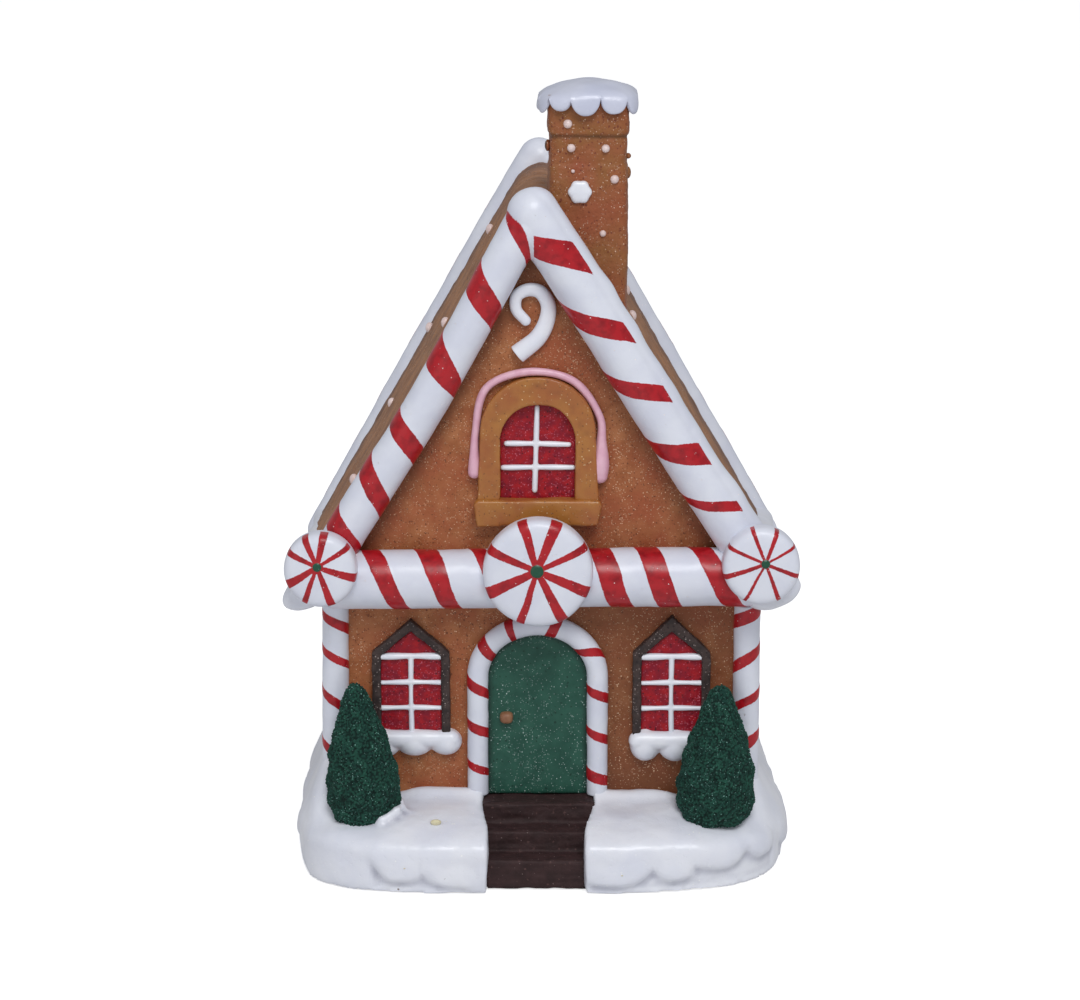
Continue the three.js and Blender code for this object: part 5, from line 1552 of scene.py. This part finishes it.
@dataclass
class GableTrim:
    """The two gable canes, the eave cane and the mints of the front or the back wall."""

    wall: Wall
    word: str
    left: GableRoll
    right: GableRoll
    mints: tuple[str, ...]
    eave_z: float = 88.2
    eave_radius: float = 8.6
    eave_half_length: float = 62.0
    eave_tilt: Pair = (-0.6, 0.7)  # rise of its left and of its right end
    eave_stripes: Stripes = Stripes((
        (9.4, 15.2, 20.3, 25.6), (25.3, 32.1, 35.1, 40.1), (41.5, 46.2, 51.0, 55.5),
        (75.5, 82.0, 83.2, 90.2), (89.2, 96.1, 97.4, 104.2), (105.0, 111.2, 116.8, 123.0)))

    def _joined_canes(self) -> None:
        """Melt the two gable canes into one piece at the apex, and paint them again."""
        canes = [self.left.cane(self.wall, self.word, "left"), self.right.cane(self.wall, self.word, "right")]
        skin = fused([cane.skin() for cane in canes] + [blob(*APEX_FILL, 32)], 0.5, 4)
        (left_reach, left_paint), (right_reach, right_paint) = (cane.seen_from(skin.points) for cane in canes)
        beyond = left_reach - right_reach - APEX_SEAM
        paint = np.minimum(np.where(beyond < 0, left_paint, right_paint), np.abs(beyond) - 0.7)
        skin = self.wall.put(skin.valued(stripe=paint, dot=UNPAINTED))
        publish(skin, f"gable_rolls_{self.word}", Look.CANDY, *(cane.node for cane in canes))

    def build(self) -> None:
        """Roll the canes and set the mints over their joints."""
        self._joined_canes()
        x = np.linspace(-1, 1, 60)
        eave_z = self.eave_z + mix(*self.eave_tilt, (x + 1) / 2)
        eave = Path(xyz(x * self.eave_half_length, -CANE_OUT, eave_z))
        Cane(f"eave_roll_{self.word}", f"eave_cane_{self.word}", eave, even(self.eave_radius),
             self.eave_stripes, self.wall, domes=(False, False), seed=11).build()
        for name in self.mints:
            MINTS[name].build(self.wall, self.word, name)


@dataclass(frozen=True)
class Mint:
    """A peppermint disc with painted spokes and a green dot."""

    x: float
    z: float
    radius: float
    spokes: tuple[float, ...]
    dot: float
    hub: Pair
    paint: Pair = (0.55, 1.25)  # half width of a spoke at the hub and at the rim
    narrow: float = 1.0
    crown: float = 20.0
    back: float = 11.0
    step: float = 0.42

    def _profile(self) -> Array:
        """Distances from the middle, and out of the wall, from the back round to the front."""
        rim = [(0.5, 0.0), (0.9, 0.0), (0.975, 0.5), (1.0, 1.4)]
        face = [(1.0, 3.8), (0.99, 2.8), (0.96, 1.9), (0.9, 1.2), (0.8, 0.7), (0.62, 0.35), (0.4, 0.12),
                (0.2, 0.0), (0.02, 0.0)]
        corners = [(share * self.radius, 0.0, self.back + out) for share, out in rim]
        corners += [(share * self.radius, 0.0, self.crown - down) for share, down in face]
        line = Path.smooth(corners, 8)
        return line.at(np.linspace(0, line.length, round(line.length / self.step)))[:, [0, 2]]

    def _spokes(self, from_hub: Array, bearing: Array) -> Array:
        """Distance inside the nearest spoke, by distance and direction from the hub."""
        depth = np.full(from_hub.shape, UNPAINTED)
        for index, spoke in enumerate(self.spokes):
            away = bearing - math.radians(spoke) - 0.02 * lumps(xyz(from_hub, 0.0, index * 9.7), 5.0, 13)
            aside = np.where(np.cos(away) > 0, np.abs(np.sin(away)) * from_hub, 99.0)
            half = mix(*self.paint, np.clip(from_hub / self.radius, 0, 1) ** 0.8)
            depth = np.maximum(depth, half * (0.9 + 0.2 * math.sin(index * 2.3)) - aside)
        return depth

    def build(self, wall: Wall, wall_word: str, name: str) -> None:
        """Press the disc, paint it and put it on its wall."""
        reach, out = self._profile().T[:, :, None]
        turn = full_turn(round(2 * math.pi * self.radius / self.step))[None, :]
        x, z = reach * np.cos(turn), reach * np.sin(turn)
        across, rise = x - self.hub[0], z - self.hub[1]
        from_hub = np.hypot(across, rise)
        spokes = np.minimum(self._spokes(from_hub, np.arctan2(rise, across)), from_hub - 0.35 * self.dot)
        front = out > self.crown - 6.0
        stripe = np.where(front, spokes, UNPAINTED)
        dot = np.where(front, self.dot - from_hub, UNPAINTED)
        flat = xyz(x, z, out)
        rim = 1 + 0.012 * lumps(flat * [1, 1, 0], 9.0, round(self.x) + 5)
        lift = 0.12 * soft_step(stripe, -0.2, 0.3) + 0.5 * soft_step(dot, -0.3, 0.6)
        y = -(out + lift + 0.1 * lumps(flat, 6.0, round(self.x) + 9))
        rings = xyz(self.x + self.narrow * x * rim, y, self.z + z * rim)
        skin = wall.put(shell(rings, {"stripe": stripe, "dot": dot}))
        publish(skin, f"peppermint_{wall_word}_{name}", Look.CANDY, f"mint_{wall_word}_{name}")


MINTS = {
    "centre": Mint(-0.8, 92.6, 15.8, (107, 68, 25, -24, -63, -107, -154, 157), 1.9, (-0.3, 1.4), (0.8, 1.7)),
    "left": Mint(-63.4, 93.4, 10.9, (115, 78, 31, -18, -70, -111, -148, 155), 1.3, (-0.8, 1.7), narrow=0.97),
    "right": Mint(
        63.4, 94.8, 11.4, (113, 70, 29, -23, -69, -118, -160, 157), 1.3, (1.0, 1.5), (0.4, 0.72), 0.98),
}


@dataclass
class CornerCane:
    """An upright cane in a corner of the walls."""

    word: str
    x: float
    y: float
    stripes: tuple[Quad, ...]
    lean: float = 0.0
    radius: float = 3.9
    foot_z: float = 12.3
    top_z: float = 79.2

    def build(self) -> None:
        """Roll the cane, with its seam inside the corner."""
        forward = self.y < HOUSE_MIDDLE_Y
        inside_left = (self.x > 0) == forward
        heights = np.linspace(self.foot_z, self.top_z, 40)
        share = (heights - self.foot_z) / (self.top_z - self.foot_z)
        path = Path(xyz(self.x + self.lean * (1 - share), self.y, heights))
        edges = tuple(tuple(edge - self.foot_z for edge in stripe) for stripe in self.stripes)
        Cane(f"corner_roll_{self.word}", f"corner_cane_{self.word}", path, even(self.radius),
             Stripes(edges, wander=0.15), None, front=(0.0, -1.0 if forward else 1.0, 0.0),
             domes=(False, False), seam=135.0 if inside_left else 225.0, step=0.5, seed=17).build()


LEFT_CORNER_STRIPES = (
    (75.5, 78.2, 69.5, 73.0), (65.0, 67.8, 58.8, 61.4), (52.5, 55.4, 44.0, 47.5), (36.7, 39.5, 28.0, 32.0))
RIGHT_CORNER_STRIPES = (
    (71.4, 75.8, 76.5, 80.6), (57.6, 61.3, 65.2, 68.9), (45.8, 48.6, 51.8, 55.0), (31.3, 36.7, 39.1, 42.1))


# ---------------- door


def arched(half: float, rise: float, foot: float, spring: float, foot_half: float | None = None) -> Array:
    """Draw an arched opening, from its left foot round to its right one.

    Args:
        half: Half its width.
        rise: Height of the arch over its spring.
        foot: Height of its feet.
        spring: Height at which the arch starts.
        foot_half: Half its width at the feet, where that is another one.

    Returns:
        Its outline in X and Z.
    """
    turn = np.radians(np.linspace(180, 0, 41))
    arch = np.stack([half * np.cos(turn), spring + rise * np.sin(turn)], axis=1)
    foot_half = foot_half or half
    return np.vstack([[-foot_half, foot], arch, [foot_half, foot]])


@dataclass
class Door:
    """The arched door with its knob and the cane round it."""

    x: float = -1.1
    sill_z: float = 21.0
    spring_z: float = 57.2
    half_width: float = 17.65
    rise: float = 15.9
    # painted shade along the leaf's edge, where the cane shades it
    rim: Triple = (0.7, 0.2, 2.4)  # share, and from and to how far inwards
    cane_radius: float = 3.1
    cane_out: float = 1.8
    cane_over: float = 0.4  # how far the leaf reaches under the cane
    thickness: float = 1.6
    knob: tuple[float, float, float, float, float] = (-10.3, 44.8, 1.95, 2.4, 1.75)  # X, Z and half sizes
    stripes: Stripes = Stripes((
        (9.5, 11.6, 5.9, 7.7), (21.5, 24.2, 17.5, 20.0), (34.4, 37.6, 29.5, 31.9), (45.4, 47.8, 42.7, 45.4),
        (54.0, 56.0, 53.5, 54.8), (67.7, 69.1, 64.6, 68.0), (82.1, 83.8, 75.7, 78.7),
        (94.1, 96.8, 90.7, 92.8), (107.0, 109.5, 103.4, 105.5), (119.7, 122.2, 116.1, 119.5)),
        wander=0.14, spread=0.28)

    def build(self) -> None:
        """Cast the leaf with painted shade along its edge under the cane, set the knob and lay the cane round
        them.
        """
        half, rise = (size - self.cane_radius + self.cane_over for size in (self.half_width, self.rise))
        outline = arched(half, rise, self.sill_z, self.spring_z) + [self.x, 0.0]
        skin = slab(outline, self.thickness, 0.5, 2, (0.12, 6.0), (0.06, 1.6), seed=71)
        across = (skin.points[:, 0] - self.x) / half
        from_rim = half * (1 - np.hypot(across, np.maximum(skin.points[:, 2] - self.spring_z, 0) / rise))
        share, *reach = self.rim
        skin = skin.valued(hollow=share * (1 - soft_step(from_rim, *reach)))
        publish(Wall.FRONT.put(skin), "door_leaf", Look.GREEN_GLITTER, "door")
        x, z, *sizes = self.knob
        knob = blob((x, -GAP - self.thickness, z), sizes, 32, power=0.7)
        knob = roughened(knob, (0.1, 1.5), seed=72)
        publish(Wall.FRONT.put(knob), "dough_knob", Look.KNOB, "door_knob")
        line = arched(self.half_width, self.rise, self.sill_z, self.spring_z) + [self.x, 0.0]
        line = np.insert(line, 1, -self.cane_out, axis=1)
        up, down = np.linspace(line[0], line[1], 30), np.linspace(line[-2], line[-1], 30)
        path = Path(np.vstack([up[:-1], line[1:-2], down]))
        Cane("door_roll", "door_cane", path, even(self.cane_radius), self.stripes, Wall.FRONT,
             domes=(False, False), step=0.48, seed=23).build()


# ---------------- windows


PANE_DEPTH = 0.8
BAR_OUT = GAP + PANE_DEPTH + 0.25


@dataclass
class GabledWindow:
    """A house-shaped window with icing bars and snow on its ledge."""

    name: str
    wall: Wall
    x: float = 0.0
    foot_z: float = 39.6
    mirror: int = 1
    outer: Triple = (11.5, 25.0, 36.2)
    inner: Triple = (8.85, 24.0, 31.6)
    frame_depth: float = 2.4
    bar_radius: float = 0.74
    bar_heights: tuple[float, ...] = (7.9, 15.7, 23.7)
    sill: Quad = (11.7, -1.6, 1.6, 2.6)  # half length, Z, distance out, radius
    sill_x: float = 0.0
    lobes: tuple[Triple, ...] = (  # X, half width and bottom
        (-8.7, 5.4, -7.9), (0.8, 5.6, -7.2), (10.0, 5.0, -6.9))
    lobe_top: float = 1.4
    lobe_depth: float = 4.4

    def _gable(self, half: float, shoulder: float, apex: float) -> list[Pair]:
        """House-shaped outline from its left foot, just under the window's, to its right foot."""
        return [(-half, -0.5), (-half, shoulder), (0, apex), (half, shoulder), (half, -0.5)]

    def _bars(self) -> Surface:
        """Piped icing bars: one upright and three across."""
        half, top = self.inner[0] - 0.2, self.bar_heights[-1]
        lines = [[(0.1, -0.5), (-0.1, top * 0.5), (0.0, top)]]
        lines += [[(-half, z - 0.1), (0.0, z + 0.1), (half, z)] for z in self.bar_heights]
        rolls = []
        for index, line in enumerate(lines):
            def radius(share: Array, index: int = index) -> Array:
                """Piped thickness, a little uneven, and more in the top bar."""
                thick = self.bar_radius * (1.28 if index == len(self.bar_heights) else 1.0)
                return thick * (1 + 0.12 * np.sin(share * 9 + index * 2.1))
            rolls.append(Roll(Path.on_wall(line, BAR_OUT), radius, flat=1.1, step=0.25).skin())
        return fused(rolls, 0.26, 2)

    def _snow(self) -> Surface:
        """Snow on the ledge: a roll with three fat drips, and painted shade in its hollows."""
        half, z, out, radius = self.sill
        path = Path.on_wall([(self.sill_x + x, z) for x in (-half, 0.0, half)], out)
        parts = [Roll(path, even(radius), step=0.5).skin()]
        for x, wide, bottom in self.lobes:
            tall = (self.lobe_top - bottom) / 2
            parts.append(blob((self.mirror * x, 0.0, bottom + tall), (wide, self.lobe_depth, tall), 40))
        return roughened(fused(parts, 0.42, 4), (0.15, 4.0), seed=81).shaded(0.03)

    def build(self) -> None:
        """Build the frame, the glitter pane, the bars and the snow."""
        outline = self._gable(*self.outer) + self._gable(*self.inner)[::-1]
        half, shoulder, apex = self.inner
        pane = self._gable(half + 0.3, shoulder, apex)
        for skin, word, look, node in (
            (slab(outline, self.frame_depth, 0.38, 8, (0.16, 2.2), (0.08, 0.9), seed=82),
             "moulding", Look.WINDOW_FRAME, "frame"),
            (slab(pane, PANE_DEPTH, 0.45, 1, (0.08, 1.0), (0.05, 0.5), seed=83),
             "glitter", Look.RED_GLITTER, "pane"),
            (self._bars(), "lattice", Look.ICING, "bars"),
            (self._snow(), "drift", Look.ICING, "snow"),
        ):
            placed = self.wall.put(skin.moved(self.x, 0.0, self.foot_z))
            publish(placed, f"{self.name}_{word}", look, f"{self.name}_{node}")


@dataclass
class UpperWindow:
    """The arched window of the gable, with its biscuit arch, ledge and piped icing."""

    x: float = -1.0
    z: float = 111.0
    foot: float = -0.3
    pane_half: float = 10.8
    pane_spring: float = 17.7
    frame_half: float = 16.9
    frame_foot_half: float = 17.6
    frame_spring: float = 19.6
    frame_depth: float = 3.8
    ledge_depth: float = 5.2
    ledge: tuple[Pair, ...] = (
        (-18.6, -1.0), (-17.8, -7.6), (17.4, -7.1), (18.6, -1.2), (17.9, 0.3), (-17.8, 0.3))
    bar_radius: float = 0.8
    bars: tuple[Quad, ...] = (  # X and Z of both ends
        (-0.9, 2.6, -0.2, 27.2), (-9.1, 16.5, 9.0, 16.2), (-10.1, 9.3, 10.2, 9.4))
    icing_route: tuple[Pair, ...] = (
        (-18.4, 8.0), (-18.1, 19.6), (-14.8, 32.9), (-2.7, 37.6), (10.4, 34.8), (18.0, 24.1), (18.4, 17.0),
        (18.0, 7.0))
    icing_radius: float = 1.15
    icing_out: float = 1.5

    def _icing(self) -> Surface:
        """Pink icing piped over the arch, with a drop at each end."""
        def radius(share: Array) -> Array:
            """Thickness along the line: a small drop on the left and a fat one on the right."""
            left = 0.75 * np.exp(-((share / 0.06) ** 2))
            right = 1.45 * np.exp(-(((share - 0.965) / 0.07) ** 2))
            return self.icing_radius * (1 + 0.04 * np.sin(share * 31)) + left + right
        return Roll(Path.on_wall(self.icing_route, self.icing_out), radius, step=0.3).skin()

    def _bars(self) -> Surface:
        """Piped icing bars: one upright and two across."""
        rolls = [
            Roll(Path.on_wall([(x0, z0), ((x0 + x1) / 2, (z0 + z1) / 2 + 0.1), (x1, z1)], BAR_OUT),
                 lambda share: self.bar_radius * (1 + 0.08 * np.sin(share * 11)), flat=1.1, step=0.25).skin()
            for x0, z0, x1, z1 in self.bars
        ]
        return fused(rolls, 0.28, 2)

    def build(self) -> None:
        """Build the arch with painted shade in its hollows, the ledge, the pane, the bars and the pink icing.
        """
        hole = arched(self.pane_half, self.pane_half, self.foot, self.pane_spring)
        arch = arched(self.frame_half, self.frame_half, self.foot, self.frame_spring, self.frame_foot_half)
        arch = slab(np.vstack([arch, hole[::-1]]), self.frame_depth, 0.5, 6, (0.35, 7.0), (0.1, 2.0), seed=91)
        half = self.pane_half + 0.4
        pane = arched(half, half, self.foot, self.pane_spring)
        for skin, name, look, node in (
            (arch.shaded(0.02), "biscuit_arch", Look.BISCUIT, "upper_frame"),
            (slab(self.ledge, self.ledge_depth, 0.5, 14, (0.3, 7.0), (0.1, 2.0), seed=92),
             "biscuit_ledge", Look.BISCUIT, "upper_ledge"),
            (slab(pane, PANE_DEPTH, 0.45, 1, (0.08, 1.0), (0.05, 0.5), seed=93),
             "upper_glitter", Look.RED_GLITTER, "upper_pane"),
            (self._bars(), "upper_lattice", Look.ICING, "upper_bars"),
            (self._icing(), "piped_pink_icing", Look.PINK, "pink_icing"),
        ):
            publish(Wall.FRONT.put(skin.moved(self.x, 0.0, self.z)), name, look, node)


@dataclass
class IcingHook:
    """The curled white icing hook in the gable."""

    route: tuple[Pair, ...] = (
        (-4.5, 163.6), (-7.2, 166.9), (-7.0, 170.7), (-4.0, 172.5), (-0.5, 172.0), (1.9, 168.4), (1.6, 163.8),
        (-0.9, 158.8), (-7.0, 153.7))
    tip: float = 1.5
    end: float = 2.8
    flatness: float = 0.75
    out: float = 1.5

    def build(self) -> None:
        """Pipe the hook."""
        roll = Roll(Path.on_wall(self.route, self.out), lambda share: mix(self.tip, self.end, share),
                    flat=self.flatness, domes=(True, False), step=0.35, cut_rounding=0.12)
        publish(Wall.FRONT.put(roll.skin()), "piped_hook", Look.ICING, "icing_hook")


# ---------------- studio


@dataclass
class Studio:
    """A plain pale floor, soft light and the camera."""

    floor_half: float = 14.0  # in metres
    floor_z: float = -0.4
    floor_glow: float = 0.68
    camera_at: Triple = (5.84, -932.54, 321.55)
    aimed_at: Triple = (-0.47, -27.5, 107.6)
    lens: float = 105.0
    sky: Triple = (0.93, 0.95, 1.0)
    sky_strength: float = 0.42
    key_at: Triple = (200.0, -1100.0, 1350.0)
    key_size: float = 700.0
    key_power: float = 13.0
    fill_at: Triple = (-900.0, -1400.0, 400.0)
    fill_size: float = 1200.0
    fill_power: float = 2.5

    def _aimed(self, name: str, data: bpy.types.ID, place: Sequence[float]) -> bpy.types.Object:
        """Add a lamp or camera and point it at the house."""
        thing = added(name, data)
        thing.location = Vector(place) * MM
        thing.rotation_euler = (Vector(self.aimed_at) - Vector(place)).to_track_quat("-Z", "Y").to_euler()
        return thing

    def _lamp(self, name: str, place: Sequence[float], size: float, power: float) -> None:
        """Add one square softbox."""
        light = bpy.data.lights.new(name, "AREA")
        light.size = size * MM
        light.energy = power
        self._aimed(name, light, place)

    def _floor(self) -> None:
        """Lay the paper that the house stands on, which looks brighter to the camera than it is."""
        edge = self.floor_half
        mesh = bpy.data.meshes.new("studio_floor")
        corners = [(-edge, -edge, 0), (edge, -edge, 0), (edge, edge, 0), (-edge, edge, 0)]
        mesh.from_pydata(corners, [], [(0, 1, 2, 3)])
        floor = added("studio_floor", mesh)
        floor.location.z = self.floor_z * MM
        paper = bpy.data.materials.new("Studio paper")
        paper.use_nodes = True
        shader = paper.node_tree.nodes["Principled BSDF"]
        shader.inputs["Base Color"].default_value = (0.8, 0.8, 0.8, 1)
        shader.inputs["Roughness"].default_value = 0.9
        shader.inputs["Emission Color"].default_value = (1, 1, 1, 1)
        wire = Wiring(paper.node_tree)
        seen = wire.node("ShaderNodeLightPath").outputs["Is Camera Ray"]
        wire.tree.links.new(wire.math("MULTIPLY", seen, self.floor_glow), shader.inputs["Emission Strength"])
        mesh.materials.append(paper)

    def build(self) -> None:
        """Set up the floor, the lights, the world and the camera."""
        self._floor()
        self._lamp("key_softbox", self.key_at, self.key_size, self.key_power)
        self._lamp("fill_softbox", self.fill_at, self.fill_size, self.fill_power)
        world = bpy.data.worlds.new("studio_world")
        world.use_nodes = True
        sky = world.node_tree.nodes["Background"]
        sky.inputs["Color"].default_value = (*self.sky, 1)
        sky.inputs["Strength"].default_value = self.sky_strength
        scene = bpy.context.scene
        scene.world = world
        scene.view_settings.view_transform = "Standard"
        camera = bpy.data.cameras.new("camera")
        camera.lens = self.lens
        camera.sensor_width = 36.0
        camera.sensor_fit = "HORIZONTAL"
        camera.clip_end = 50.0
        scene.camera = self._aimed("camera", camera, self.camera_at)


def main() -> None:
    """Build the whole house and its studio."""
    logging.basicConfig(level=logging.INFO, format="%(name)s: %(message)s")
    Studio().build()
    steps = Steps()
    steps.build()
    SnowBase().build(steps)
    FoamTree("left", -51.6, -54.4, 17.0, 41.2, 10.5).build()
    FoamTree("right", 51.0, 52.4, 17.4, 40.4, 11.1).build()
    Walls().build()
    Chimney().build()
    Roof().build()
    EaveSnow(-1).build()
    EaveSnow(1).build()
    GableTrim(Wall.FRONT, "front", LEFT_ROLL, RIGHT_ROLL, ("centre", "left", "right")).build()
    GableTrim(Wall.BACK, "back", BACK_ROLL, BACK_BOWED_ROLL, ("centre",)).build()
    half = WALL_HALF_WIDTH
    CornerCane("front_left", -half, FRONT_WALL_Y, LEFT_CORNER_STRIPES, lean=-0.8).build()
    CornerCane("front_right", half, FRONT_WALL_Y, RIGHT_CORNER_STRIPES).build()
    CornerCane("back_left", -half, BACK_WALL_Y, RIGHT_CORNER_STRIPES).build()
    CornerCane("back_right", half, BACK_WALL_Y, LEFT_CORNER_STRIPES).build()
    Door().build()
    GabledWindow("window_left", Wall.FRONT, -38.4, outer=(11.5, 25.0, 35.0)).build()
    GabledWindow(
        "window_right", Wall.FRONT, 38.4, mirror=-1, sill=(10.6, -1.9, 1.6, 2.7), sill_x=0.7,
        lobes=((7.7, 4.6, -8.7), (-1.2, 5.0, -8.8), (-9.0, 4.6, -7.6))).build()
    GabledWindow("window_back", Wall.BACK).build()
    GabledWindow("window_side_left", Wall.LEFT, foot_z=40.6, mirror=-1).build()
    GabledWindow("window_side_right", Wall.RIGHT, foot_z=40.6).build()
    UpperWindow().build()
    IcingHook().build()


if __name__ == "__main__":
    main()
